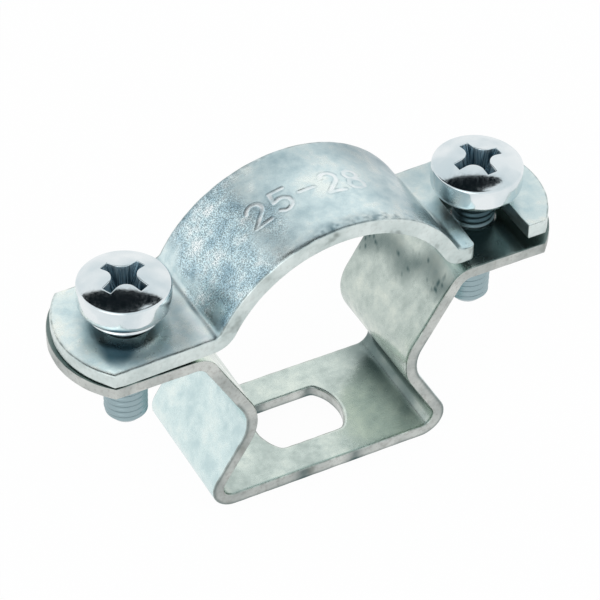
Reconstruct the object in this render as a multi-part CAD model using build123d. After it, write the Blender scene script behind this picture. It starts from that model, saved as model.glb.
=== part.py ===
from build123d import *
import math
import os

# A two-piece conduit clip in zinc-plated sheet steel. A bent bracket stands on a slotted foot and
# holds the conduit in the V between its two flanks. A strap with a round arch lies over it. Two
# cross-recess screws draw the strap down. The strap's right ear has a slot that is open at the
# front, so that the strap can swing aside about the left screw.
# Millimetres. X runs along the strap, Y along the conduit, Z up. The origin is in the middle of
# the foot's underside.

SCREW_SPACING = 44.0

# Lower bracket
BRACKET_WIDTH = 16.0
BRACKET_SHEET = 1.5
EAR_HEIGHT = 24.25          # top of the ears above the foot's underside
CRADLE_MOUTH = 31.1         # across the flanks' inner faces, where they would meet the ears' top
CRADLE_ANGLE = 60.0         # flanks to the horizontal, degrees
FOOT_SPAN = 34.3            # across the legs' outer faces, where they would meet the floor
LEG_ANGLE = 60.0            # legs to the horizontal, degrees
SHOULDER_BEND = 1.5         # inside radius of each bend
KNEE_BEND = 4.5
FOOT_BEND = 1.4
EAR_SQUARE = 4.8            # ear beyond the screw's axis, along its straight sides
EAR_ROUND = 8.4             # ear beyond the screw's axis, at the tip of its rounded end

# Slotted hole in the foot: a circle with two flats
FOOT_SLOT_LENGTH = 10.6
FOOT_SLOT_WIDTH = 7.4
FOOT_SLOT_CORNER = 0.4

# Upper strap
STRAP_WIDTH = 15.0
STRAP_SHEET = 1.95
ARCH_RADIUS = 14.7          # inside
ARCH_DROP = 5.1             # arch's centre below the ears' underside
ARCH_SHIFT = 0.65           # arch's centre towards the slotted ear
ARCH_BEND = 1.0             # inside radius between ear and arch
STRAP_SQUARE = 5.0
STRAP_ROUND = 8.05
PIVOT_CLEARANCE = 0.5       # around the left screw, on the radius

# How the loose strap lies
STRAP_TILT = 0.95           # its slotted end raised, degrees
STRAP_YAW = 0.6             # its slotted end to the back, degrees
STRAP_SLIP = 0.4            # its hole towards the front of the left screw's axis
STRAP_SEAT = 0.03           # gap under its lowest point

# Open slot in the strap's right ear, measured from the right screw's axis
SLOT_LEFT = 3.85            # to the left wall
SLOT_RIGHT = 2.7            # to the right wall
SLOT_FLARE = 0.35           # the left wall spreads by this much at the front edge
SLOT_END_CENTRE = 0.6       # centre of the rounded closed end, towards the back

# Screws
THREAD_DIAMETER = 4.95
THREAD_CLEARANCE = 0.075    # plain shank to the tapped ear's plain hole, on the radius
SCREW_LENGTH = 16.2         # under the head
POINT_LENGTH = 1.0
POINT_RADIUS = 1.75
HEAD_DIAMETER = 10.45
HEAD_SIDE = 3.3             # bearing face to the rim under the dome
HEAD_DOME = 1.0
HEAD_RIM = 0.3              # bevel between side and dome
HEAD_FOOT = 0.8             # rounding between side and bearing face
LEFT_BACK_OFF = 1.84        # bearing face above the strap, on the screw's axis
RIGHT_BACK_OFF = 1.41

# Cross recess
RECESS_SPAN = 5.7
RECESS_ARM = 1.1
RECESS_LOBE = 1.4           # radius of the head's metal between two arms
RECESS_DEPTH = 2.8          # below the top of the dome
RECESS_TAPER = 7.0          # walls to the axis, degrees
LEFT_RECESS_TURN = 24.8     # arms to the X axis, degrees
RIGHT_RECESS_TURN = 3.8

CUT_MARGIN = 5.0            # cutting tools run past the faces by this much

# Derived places
SCREW_X = SCREW_SPACING / 2
TILT = math.radians(STRAP_TILT)
STRAP_TIP = SCREW_X + STRAP_ROUND
STRAP_LOW = EAR_HEIGHT + STRAP_SEAT
HEAD_RADIUS = HEAD_DIAMETER / 2
THREAD_RADIUS = THREAD_DIAMETER / 2


def set_off(points, distance):
    """Corner points of a path moved to its left by a distance, with mitred corners."""
    normals = []
    for (x1, z1), (x2, z2) in zip(points, points[1:]):
        length = math.hypot(x2 - x1, z2 - z1)
        normals.append(((z1 - z2) / length, (x2 - x1) / length))
    moved = []
    for (x, z), before, after in zip(points, normals[:1] + normals, normals + normals[-1:]):
        share = distance / (1 + before[0] * after[0] + before[1] * after[1])
        moved.append((x + share * (before[0] + after[0]), z + share * (before[1] + after[1])))
    return moved


def bent_sheet(points, bends, sheet):
    """Section of a bent sheet. The points are the corners of its upper face, from left to right,
    and the bends are the inside radius at each corner between the two ends."""
    upper_radii = []
    lower_radii = []
    for (x1, z1), (x2, z2), (x3, z3), bend in zip(points, points[1:], points[2:], bends):
        turns_left = (x2 - x1) * (z3 - z2) - (z2 - z1) * (x3 - x2) > 0
        upper_radii.append(bend if turns_left else bend + sheet)
        lower_radii.append(bend + sheet if turns_left else bend)
    under = set_off(points, -sheet)
    upper = FilletPolyline(*points, radius=upper_radii)
    lower = FilletPolyline(*under, radius=lower_radii)
    ends = [Line(points[0], under[0]), Line(points[-1], under[-1])]
    return make_face(Curve() + [upper, lower] + ends)


def strip_plan(width, square, tip):
    """Outline of a strip from above, each end drawn out in an arc from its corners to its tip."""
    half = width / 2
    return make_face(Curve() + [
        ThreePointArc((square, -half), (tip, 0), (square, half)),
        Line((square, half), (-square, half)),
        ThreePointArc((-square, half), (-tip, 0), (-square, -half)),
        Line((-square, -half), (square, -half)),
    ])


def foot_slot():
    """The foot's slotted hole: a round hole narrowed by two flats along X."""
    outline = Circle(FOOT_SLOT_LENGTH / 2) & Rectangle(FOOT_SLOT_LENGTH, FOOT_SLOT_WIDTH)
    outline = fillet(outline.vertices(), FOOT_SLOT_CORNER)
    return extrude(outline, BRACKET_SHEET + CUT_MARGIN, both=True)


def lower_bracket():
    """Foot, legs, knees, cradle flanks and tapped ears, bent from one strip."""
    cradle_run = 1 / math.tan(math.radians(CRADLE_ANGLE))
    leg_run = 1 / math.tan(math.radians(LEG_ANGLE))
    mouth_x = CRADLE_MOUTH / 2
    leg_x = FOOT_SPAN / 2 - BRACKET_SHEET / math.sin(math.radians(LEG_ANGLE))
    # The flank's and the leg's inner faces cross at the knee.
    knee_z = (leg_x - mouth_x + EAR_HEIGHT * cradle_run) / (cradle_run + leg_run)
    knee_x = leg_x - knee_z * leg_run
    foot_x = leg_x - BRACKET_SHEET * leg_run
    ear_tip = SCREW_X + EAR_ROUND
    right = [(foot_x, BRACKET_SHEET), (knee_x, knee_z), (mouth_x, EAR_HEIGHT), (ear_tip, EAR_HEIGHT)]
    left = [(-x, z) for x, z in reversed(right)]
    bends = [SHOULDER_BEND, KNEE_BEND, FOOT_BEND, FOOT_BEND, KNEE_BEND, SHOULDER_BEND]
    section = bent_sheet(left + right, bends, BRACKET_SHEET)
    strip = extrude(Plane.XZ * section, BRACKET_WIDTH / 2, both=True)
    strip = strip & extrude(strip_plan(BRACKET_WIDTH, SCREW_X + EAR_SQUARE, ear_tip), EAR_HEIGHT)
    tapped = Cylinder(THREAD_RADIUS + THREAD_CLEARANCE, 2 * (BRACKET_SHEET + CUT_MARGIN))
    for x in (-SCREW_X, SCREW_X):
        strip = strip - Pos(x, 0, EAR_HEIGHT) * tapped
    return strip - foot_slot()


def arch_side(radius_step):
    """Half of one face of the strap's section, from the end of the ear to the arch's crown.
    The bend and the arch touch where the line between their centres crosses the sheet."""
    bend_z = STRAP_SHEET + ARCH_BEND
    outside = ARCH_RADIUS + STRAP_SHEET
    bend_x = math.sqrt((outside + ARCH_BEND) ** 2 - (bend_z + ARCH_DROP) ** 2)
    lean = math.atan2(bend_x, bend_z + ARCH_DROP)
    small = ARCH_BEND + radius_step
    large = outside - radius_step
    meet = (bend_x - small * math.sin(lean), bend_z - small * math.cos(lean))
    half_bend = (bend_x - small * math.sin(lean / 2), bend_z - small * math.cos(lean / 2))
    half_arch = (large * math.sin(lean / 2), large * math.cos(lean / 2) - ARCH_DROP)
    crown = (0, large - ARCH_DROP)
    return (bend_x, bend_z - small), half_bend, meet, half_arch, crown


def strap_face(radius_step):
    """One whole face of the strap's section as a chain of lines and arcs."""
    foot, half_bend, meet, half_arch, crown = arch_side(radius_step)
    lines = []
    for side in (-1, 1):
        tip_x = side * STRAP_TIP - ARCH_SHIFT
        lines.append(Line((tip_x, foot[1]), (side * foot[0], foot[1])))
        lines.append(ThreePointArc((side * foot[0], foot[1]), (side * half_bend[0], half_bend[1]),
                                   (side * meet[0], meet[1])))
        lines.append(ThreePointArc((side * meet[0], meet[1]), (side * half_arch[0], half_arch[1]), crown))
    return lines


def open_slot():
    """Cutter for the right ear's slot: a rounded closed end and walls that run out at the front."""
    radius = (SLOT_LEFT + SLOT_RIGHT) / 2
    middle = SCREW_X + (SLOT_RIGHT - SLOT_LEFT) / 2
    front = -STRAP_WIDTH / 2
    beyond = front - CUT_MARGIN
    flare = SLOT_FLARE * (SLOT_END_CENTRE - beyond) / (SLOT_END_CENTRE - front)
    outline = make_face(Curve() + [
        ThreePointArc((middle - radius, SLOT_END_CENTRE), (middle, SLOT_END_CENTRE + radius),
                      (middle + radius, SLOT_END_CENTRE)),
        Line((middle + radius, SLOT_END_CENTRE), (middle + radius, beyond)),
        Line((middle + radius, beyond), (middle - radius - flare, beyond)),
        Line((middle - radius - flare, beyond), (middle - radius, SLOT_END_CENTRE)),
    ])
    return extrude(outline, STRAP_SHEET + CUT_MARGIN, both=True)


def laid_on_ears(shape):
    """A level strap, with its ears' underside at z = 0, set down on the left ear as it lies loose:
    tilted about its left tip, then turned about the left screw and slipped to the front."""
    tilted = Pos(-STRAP_TIP, 0, STRAP_LOW) * Rot(0, -STRAP_TILT, 0) * Pos(STRAP_TIP, 0, 0) * shape
    return Pos(-SCREW_X, -STRAP_SLIP, 0) * Rot(0, 0, STRAP_YAW) * Pos(SCREW_X, 0, 0) * tilted


def upper_strap():
    """Arch, bends and ears, bent from one strip, with its hole and its open slot."""
    tips = []
    for side in (-1, 1):
        tip_x = side * STRAP_TIP - ARCH_SHIFT
        tips.append(Line((tip_x, 0), (tip_x, STRAP_SHEET)))
    section = make_face(Curve() + strap_face(0) + strap_face(STRAP_SHEET) + tips)
    strip = Pos(ARCH_SHIFT, 0, 0) * extrude(Plane.XZ * section, STRAP_WIDTH / 2, both=True)
    height = ARCH_RADIUS + STRAP_SHEET - ARCH_DROP
    strip = strip & extrude(strip_plan(STRAP_WIDTH, SCREW_X + STRAP_SQUARE, STRAP_TIP), height)
    hole = Cylinder(THREAD_RADIUS + PIVOT_CLEARANCE, 2 * (STRAP_SHEET + CUT_MARGIN))
    strip = strip - Pos(-SCREW_X, 0, 0) * hole - open_slot()
    return laid_on_ears(strip)


def bearing_height(x, back_off):
    """Height of a head's bearing face: the strap's tilted top on the screw's axis, and the gap."""
    top = STRAP_LOW + (x + STRAP_TIP) * math.tan(TILT) + STRAP_SHEET / math.cos(TILT)
    return top + back_off


def cross_recess(turn):
    """Cutter for the driver's cross: four arms that narrow on the way down, between round lobes."""
    cross = Rectangle(RECESS_SPAN, RECESS_ARM) + Rectangle(RECESS_ARM, RECESS_SPAN)
    inner = cross.vertices().sort_by(lambda corner: math.hypot(corner.X, corner.Y))[:4]
    cross = fillet(inner, RECESS_LOBE)
    mouth = Plane(origin=(0, 0, HEAD_SIDE + HEAD_DOME), x_dir=(1, 0, 0), z_dir=(0, 0, -1))
    return Rot(0, 0, turn) * extrude(mouth * cross, RECESS_DEPTH, taper=RECESS_TAPER)


def screw(recess_turn):
    """A screw with its bearing face at z = 0 and its shank below."""
    rim = HEAD_RADIUS - HEAD_RIM
    dome_radius = (rim ** 2 + HEAD_DOME ** 2) / (2 * HEAD_DOME)
    half = math.asin(rim / dome_radius) / 2
    dome_middle = (dome_radius * math.sin(half),
                   HEAD_SIDE + HEAD_DOME - dome_radius * (1 - math.cos(half)))
    foot_inset = HEAD_FOOT * (1 - math.sqrt(0.5))
    foot_middle = (HEAD_RADIUS - foot_inset, foot_inset)
    profile = make_face(Curve() + [
        Polyline((0, HEAD_SIDE + HEAD_DOME), (0, -SCREW_LENGTH), (POINT_RADIUS, -SCREW_LENGTH),
                 (THREAD_RADIUS, POINT_LENGTH - SCREW_LENGTH), (THREAD_RADIUS, 0),
                 (HEAD_RADIUS - HEAD_FOOT, 0)),
        ThreePointArc((HEAD_RADIUS - HEAD_FOOT, 0), foot_middle, (HEAD_RADIUS, HEAD_FOOT)),
        Line((HEAD_RADIUS, HEAD_FOOT), (HEAD_RADIUS, HEAD_SIDE - HEAD_RIM)),
        Line((HEAD_RADIUS, HEAD_SIDE - HEAD_RIM), (rim, HEAD_SIDE)),
        ThreePointArc((rim, HEAD_SIDE), dome_middle, (0, HEAD_SIDE + HEAD_DOME)),
    ])
    turned = revolve(Plane.XZ * profile, axis=Axis.Z)
    return turned - cross_recess(recess_turn)


def main():
    os.makedirs("parts", exist_ok=True)
    left_height = bearing_height(-SCREW_X, LEFT_BACK_OFF)
    right_height = bearing_height(SCREW_X, RIGHT_BACK_OFF)
    pieces = {
        "lower_bracket": lower_bracket(),
        "upper_strap": upper_strap(),
        "left_screw": Pos(-SCREW_X, 0, left_height) * screw(LEFT_RECESS_TURN),
        "right_screw": Pos(SCREW_X, 0, right_height) * screw(RIGHT_RECESS_TURN),
    }
    for name, piece in pieces.items():
        export_step(piece, f"parts/{name}.step")


main()
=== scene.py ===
import logging
import math
from dataclasses import dataclass, field
from enum import Enum

import bpy
import numpy as np
from mathutils import Matrix


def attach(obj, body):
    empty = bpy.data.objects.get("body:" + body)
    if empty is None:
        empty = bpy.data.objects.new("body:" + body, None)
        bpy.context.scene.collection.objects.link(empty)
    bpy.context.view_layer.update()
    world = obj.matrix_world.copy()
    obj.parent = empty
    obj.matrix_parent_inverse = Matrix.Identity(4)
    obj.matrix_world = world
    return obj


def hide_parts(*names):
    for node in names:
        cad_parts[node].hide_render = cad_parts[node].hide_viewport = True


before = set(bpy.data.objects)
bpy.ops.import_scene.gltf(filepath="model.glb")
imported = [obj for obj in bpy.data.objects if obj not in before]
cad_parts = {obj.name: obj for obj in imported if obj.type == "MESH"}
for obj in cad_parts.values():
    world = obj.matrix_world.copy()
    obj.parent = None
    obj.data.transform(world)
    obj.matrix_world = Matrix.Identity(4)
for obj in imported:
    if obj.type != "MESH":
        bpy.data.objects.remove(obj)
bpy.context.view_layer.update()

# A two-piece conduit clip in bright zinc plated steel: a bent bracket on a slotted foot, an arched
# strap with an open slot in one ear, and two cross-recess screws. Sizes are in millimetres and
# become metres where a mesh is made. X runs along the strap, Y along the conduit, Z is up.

Array = np.ndarray
Socket = bpy.types.NodeSocket

LOG = logging.getLogger("conduit_clip")
MM = 0.001
TINY = 1e-9
# Points that are closer than this, in millimetres, are welded.
WELD_MM = 2e-4
# An outline has a corner where the sine of its turn is above this. Points slide along the outline
# up to this many insets from a corner.
SHARP_TURN = 0.25
SLIDE_REACH = 3.0


class Body(str, Enum):
    """The moving bodies that the pieces ride on."""

    BRACKET = "bracket"
    STRAP = "strap"
    LEFT_SCREW = "left_screw"
    RIGHT_SCREW = "right_screw"


class Slot(str, Enum):
    """The material slot names that each piece keeps; nothing in the script reads them."""

    BRACKET = "bracket_plate"
    STRAP = "strap_plate"
    SCREW = "screw_plate"


class Seed:
    """What picks the random values of each noise."""

    LONG_WAVES = 5
    SHORT_WAVES = 6
    BRACKET_RIM = 11
    FIGURE_DEPTH = 17
    BRACKET_HOLES = 21
    STRAP_TONES = 23
    FIGURE_SHINE = 29
    FOOT_HOLE = 31
    FIGURE_SHADOW = 31
    STRAP_RIM = 41
    STRAP_HOLE = 43
    BRACKET_PAINTED_SHADE = 51
    BRACKET_PITS = 53
    BRACKET_WALL = 57
    BEND_PAINTED_REFLECTION = 61
    STRAP_SPECKS = 67
    PAINTED_EAR_SHADE = 71


def linear_colour(code: str) -> tuple[float, float, float, float]:
    """Turns an sRGB hex colour to linear light.

    Args:
        code: The colour as "#rrggbb".

    Returns:
        Red, green and blue in linear light, and an alpha of one.
    """
    values = [int(code[i:i + 2], 16) / 255 for i in (1, 3, 5)]
    linear = [v / 12.92 if v <= 0.04045 else ((v + 0.055) / 1.055) ** 2.4 for v in values]
    return (linear[0], linear[1], linear[2], 1.0)


def smooth_step(x: Array, low: float, high: float) -> Array:
    """Rises from 0 at low to 1 at high as 3 t squared less 2 t cubed."""
    t = np.clip((x - low) / (high - low), 0, 1)
    return t * t * (3 - 2 * t)


@dataclass(frozen=True)
class Bell:
    """A mark that is strongest at one place and fades on both sides of it."""

    strength: float
    middle: float
    width: float

    def at(self, place: Array, origin: float = 0.0) -> Array:
        """Strength times exp(-q squared), q being the distance from the middle over the width."""
        return self.strength * np.exp(-((place - origin - self.middle) / self.width) ** 2)


@dataclass(frozen=True)
class Rise:
    """A mark that rises from nothing at a low place to its strength at a high one."""

    low: float
    high: float
    strength: float = 1.0

    def at(self, place: Array, origin: float = 0.0) -> Array:
        """Strength times the smooth step between the two places."""
        return self.strength * smooth_step(place, origin + self.low, origin + self.high)

    def until(self, place: Array, origin: float = 0.0) -> Array:
        """One less the rise, for a mark that lasts until there."""
        return 1 - self.at(place, origin)


@dataclass(frozen=True)
class Patch:
    """A mark along one edge of a strip, with a start and an end along it."""

    strength: float
    edge: Rise
    start: Rise
    end: Rise

    def at(self, along: Array, across: Array) -> Array:
        """Strength times the edge's rise, the start's rise and what the end leaves."""
        return self.strength * (self.edge.at(across) * self.start.at(along)) * self.end.until(along)


def value_noise(x: Array, y: Array, cell: float, seed: int) -> Array:
    """Smooth noise from -1 to 1: random values on a square lattice, blended by smooth steps.

    Args:
        x: First coordinate, in millimetres.
        y: Second coordinate, in millimetres.
        cell: Spacing of the lattice, in millimetres.
        seed: Picks the random values.

    Returns:
        The noise at each point.
    """
    size = 256
    shift = 100
    lattice = np.random.default_rng(seed).uniform(-1, 1, (size, size))
    u = np.asarray(x, float) / cell + shift
    v = np.asarray(y, float) / cell + shift
    i = np.floor(u).astype(int)
    j = np.floor(v).astype(int)
    a = u - i
    b = v - j
    a = a * a * (3 - 2 * a)
    b = b * b * (3 - 2 * b)
    low = lattice[i % size, j % size] * (1 - a) + lattice[(i + 1) % size, j % size] * a
    high = lattice[i % size, (j + 1) % size] * (1 - a) + lattice[(i + 1) % size, (j + 1) % size] * a
    return low * (1 - b) + high * b


class Net:
    """Collects grids of points and becomes one welded mesh.

    Corners keep the pattern coordinates of their own grid, so a wall and a face that share a
    welded edge can still carry patterns that run their own way. Each point also has five marks
    from 0 to 1 that its finish reads: how far it is on a sheared or inner wall, which of two
    tones its plate has, how grainy it is, how much painted highlight it has, and how dark it is
    made by dirt and by painted shade and reflection.
    """

    # The fourth mark is a painted highlight, and the fifth darkens by soil and by painted shade and
    # reflection.
    MARKS = ("edge", "tone", "grain", "burnish", "film")

    def __init__(self) -> None:
        """Starts an empty net."""
        self.points: list[Array] = []
        self.pattern: list[Array] = []
        self.marks: list[Array] = []
        self.quads: list[Array] = []
        self.triangles: list[Array] = []
        self.count = 0

    def add_grid(self, points: Array, pattern: Array, marks: dict[str, Array | float],
                 closed: bool = False, flip: bool = False) -> None:
        """Adds a grid of points with a quad in each cell.

        Args:
            points: Rows by columns by three, in millimetres.
            pattern: Rows by columns by two, the pattern coordinates in millimetres.
            marks: The marks that aren't zero, by name.
            closed: Whether the last column meets the first.
            flip: Whether the faces turn the other way.
        """
        rows, columns = points.shape[:2]
        index = np.arange(rows * columns).reshape(rows, columns) + self.count
        right = np.roll(index, -1, axis=1) if closed else index[:, 1:]
        left = index if closed else index[:, :-1]
        quads = np.stack([left[:-1], right[:-1], right[1:], left[1:]], axis=-1).reshape(-1, 4)
        self.quads.append(quads[:, ::-1] if flip else quads)
        self._store(points, pattern, marks)

    def add_fan(self, ring: Array, centre: Array, marks: dict[str, float],
                flip: bool = False) -> None:
        """Adds triangles from a closed ring of points to one point.

        Args:
            ring: Points by three.
            centre: The point in the middle.
            marks: The marks that aren't zero, by name.
            flip: Whether the faces turn the other way.
        """
        count = len(ring)
        index = np.arange(count) + self.count
        hub = np.full(count, self.count + count)
        fan = np.stack([index, np.roll(index, -1), hub], axis=-1)
        self.triangles.append(fan[:, ::-1] if flip else fan)
        points = np.vstack([ring, centre[None]])
        self._store(points, points[:, :2], marks)

    def _store(self, points: Array, pattern: Array,
               marks: dict[str, Array | float]) -> None:
        """Keeps one patch's points with their pattern coordinates and marks.

        Args:
            points: Points in any layout, by three.
            pattern: The same layout, by two.
            marks: The marks that aren't zero, by name.
        """
        flat = points.reshape(-1, 3)
        self.points.append(flat)
        self.pattern.append(pattern.reshape(-1, 2))
        rows = [np.broadcast_to(marks.get(name, 0.0), points.shape[:-1]).reshape(-1)
                for name in self.MARKS]
        self.marks.append(np.stack(rows, axis=1))
        self.count += len(flat)

    def to_object(self, name: str) -> bpy.types.Object:
        """Welds the patches where they meet and makes the mesh object, in metres.

        Args:
            name: The name of the object and of its mesh.

        Returns:
            The object, at the origin, with a UV map "pattern" and an attribute for each mark.
        """
        points = np.vstack(self.points)
        pattern = np.vstack(self.pattern)
        marks = np.vstack(self.marks)
        _, first, weld = np.unique(np.round(points / WELD_MM).astype(np.int64), axis=0,
                                   return_index=True, return_inverse=True)
        weld = weld.reshape(-1)
        quads = np.vstack(self.quads)
        triangles = np.vstack(self.triangles) if self.triangles else np.zeros((0, 3), int)
        mesh = bpy.data.meshes.new(name)
        faces = weld[quads].tolist() + weld[triangles].tolist()
        mesh.from_pydata((points[first] * MM).tolist(), [], faces)
        corners = np.concatenate([quads.reshape(-1), triangles.reshape(-1)])
        layer = mesh.uv_layers.new(name="pattern")
        layer.data.foreach_set("uv", (pattern[corners] * MM).astype(np.float32).ravel())
        for number, mark in enumerate(self.MARKS):
            attribute = mesh.attributes.new(mark, "FLOAT", "POINT")
            attribute.data.foreach_set("value", marks[first, number].astype(np.float32))
        mesh.polygons.foreach_set("use_smooth", np.ones(len(mesh.polygons), bool))
        mesh.update()
        mesh.validate()
        made = bpy.data.objects.new(name, mesh)
        bpy.context.scene.collection.objects.link(made)
        return made


@dataclass(frozen=True)
class BentPath:
    """The middle line of a bent sheet's section, as straight runs and tangent arcs.

    Each run has a length and a curvature. Along an arc the heading grows evenly, so the place is
    the start plus the difference of sines over the curvature, and less that of cosines upwards.
    """

    start: tuple[float, float]
    runs: tuple[tuple[float, float], ...]
    origin: float = 0.0

    @property
    def length(self) -> float:
        """The whole length of the path."""
        return sum(run[0] for run in self.runs)

    def stations(self) -> list[float]:
        """Finds the lengths at which the runs meet.

        Returns:
            Lengths from the path's own zero, both ends included.
        """
        found = [-self.origin]
        for length, _ in self.runs:
            found.append(found[-1] + length)
        return found

    def place(self, along: Array, over: Array) -> tuple[Array, Array]:
        """Finds points a given way along the path and above its middle line.

        Args:
            along: Lengths from the path's own zero.
            over: Heights above the middle line, on its left.

        Returns:
            The X and Z coordinates.
        """
        x = np.zeros_like(along)
        z = np.zeros_like(along)
        heading = 0.0
        px, pz = self.start
        begin = -self.origin
        last = len(self.runs) - 1
        for number, (length, bend) in enumerate(self.runs):
            inside = (along >= begin) if number else np.ones_like(along, bool)
            if number < last:
                inside &= along < begin + length
            step = along[inside] - begin
            turned = heading + bend * step
            if abs(bend) > TINY:
                x[inside] = px + (np.sin(turned) - math.sin(heading)) / bend
                z[inside] = pz - (np.cos(turned) - math.cos(heading)) / bend
                end_x = px + (math.sin(heading + bend * length) - math.sin(heading)) / bend
                end_z = pz - (math.cos(heading + bend * length) - math.cos(heading)) / bend
            else:
                x[inside] = px + step * math.cos(heading)
                z[inside] = pz + step * math.sin(heading)
                end_x = px + length * math.cos(heading)
                end_z = pz + length * math.sin(heading)
            x[inside] -= over[inside] * np.sin(turned)
            z[inside] += over[inside] * np.cos(turned)
            heading += bend * length
            px, pz, begin = end_x, end_z, begin + length
        return x, z


def spaced(low: float, high: float, step: float) -> Array:
    """Evenly spaced values from low to high, both included, at most a step apart."""
    return np.linspace(low, high, max(1, math.ceil(abs(high - low) / step - TINY)) + 1)


def joined(*pieces: Array) -> Array:
    """Joins stretches of an outline, each of which starts where the last one ended."""
    return np.vstack([pieces[0]] + [piece[1:] for piece in pieces[1:]])


def straight(a: tuple[float, float], b: tuple[float, float], step: float) -> Array:
    """Evenly spaced points of a straight stretch, both ends included."""
    share = spaced(0, 1, step / max(math.dist(a, b), TINY))[:, None]
    return np.array(a) * (1 - share) + np.array(b) * share


def arc_through(a: tuple[float, float], tip: float, b: tuple[float, float], step: float) -> Array:
    """Points of the circle through two corners, mirrored about w = 0, and the tip on that axis.

    Args:
        a: The first corner.
        tip: Where the arc crosses w = 0.
        b: The last corner.
        step: Longest distance between points.

    Returns:
        Points from the first corner to the last.
    """
    rise = tip - a[0]
    radius = (a[1] ** 2 + rise ** 2) / (2 * abs(rise))
    centre = tip - math.copysign(radius, rise)
    start = math.atan2(a[1], a[0] - centre)
    end = math.atan2(b[1], b[0] - centre)
    if rise < 0:
        start, end = start % (2 * math.pi), end % (2 * math.pi)
    angle = spaced(start, end, step / radius)
    return np.stack([centre + radius * np.cos(angle), radius * np.sin(angle)], axis=1)


def inset_steps(loop: Array, depth: float) -> Array:
    """How each point of a closed loop moves into the metal for an inset of one.

    The two sides' normals are added and divided by one plus their product, which mitres a corner.
    Near a corner the points also slide along the loop, by less the further they are from it, so
    that they keep their order where the inset is shorter than the loop.

    Args:
        loop: Points by two. The metal is on the left of the loop's run.
        depth: The inset that is wanted, in millimetres.

    Returns:
        Points by two.
    """
    side = np.roll(loop, -1, axis=0) - loop
    length = np.linalg.norm(side, axis=1)
    side /= length[:, None]
    before = np.roll(side, 1, axis=0)
    turn = before[:, 0] * side[:, 1] - before[:, 1] * side[:, 0]
    normal = np.stack([-side[:, 1], side[:, 0]], axis=1)
    last = np.roll(normal, 1, axis=0)
    steps = (last + normal) / (1 + np.sum(last * normal, axis=1))[:, None]
    corners = np.flatnonzero(np.abs(turn) > SHARP_TURN)
    run = np.concatenate([[0], np.cumsum(length)[:-1]])
    mitred = steps.copy()
    for corner in corners:
        gap = (run - run[corner] + length.sum() / 2) % length.sum() - length.sum() / 2
        fade = np.clip(1 - np.abs(gap) / (SLIDE_REACH * depth), 0, 1) * (gap != 0)
        ahead = float(steps[corner] @ side[corner])
        behind = float(steps[corner] @ before[corner])
        slide = np.where(gap > 0, ahead, behind) * fade
        mitred += slide[:, None] * (side + before) / 2
    mitred[corners] = steps[corners]
    return mitred


@dataclass(frozen=True)
class ShearedEdge:
    """The edge that a press leaves on sheet: rolled over at the punch's side, then a wall.

    The roll reaches in from the outline and drops from the upper face, the burr's round is at the
    lower face, and the wall's wobble is how far it comes in at most.
    """

    roll_in: float
    roll_drop: float
    burr: float
    wobble: float

    FACE_REACH = 1.2
    ROLL_POINTS = 8
    WALL_POINTS = 7
    BURR_POINTS = 5
    WALL_TURN = Rise(0.35, 1.35)
    BURR_SHADES = (0.9, 0.6, 0.3, 0.0)

    @property
    def reach(self) -> float:
        """How far in from the outline the faces begin."""
        return self.FACE_REACH * self.roll_in

    def profile(self, sheet: float, over: Array, under: Array) -> tuple[Array, ...]:
        """The edge's section at each point: a quarter ellipse, a wall and a small quarter circle.

        Args:
            sheet: Thickness of the sheet.
            over: Scale of the roll at each point.
            under: Scale of the burr's round at each point.

        Returns:
            Insets from the outline, heights above the lower face, and 0 to 1 edge values, each
            with a row for each step of the section and a column for each point.
        """
        turn = np.radians(np.linspace(0, 90, self.ROLL_POINTS))[:, None]
        low = np.radians(np.linspace(0, 90, self.BURR_POINTS))[1:, None]
        share = np.linspace(0, 1, self.WALL_POINTS)[1:, None]
        drop = self.roll_drop * over
        burr = self.burr * under
        flat = np.full((1, len(over)), self.reach)
        wall = (sheet - drop) * (1 - share) + burr * share
        inset = np.vstack([flat, self.roll_in * over * (1 - np.sin(turn)), 0 * wall,
                           burr * (1 - np.cos(low)), flat])
        height = np.vstack([0 * flat + sheet, sheet - drop * (1 - np.cos(turn)), wall,
                            burr * (1 - np.sin(low)), 0 * flat])
        rise = self.WALL_TURN.at(turn)
        shade = np.concatenate([[0.0], rise[:, 0], np.ones(len(wall)), self.BURR_SHADES, [0.0]])
        return inset, height, shade


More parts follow.
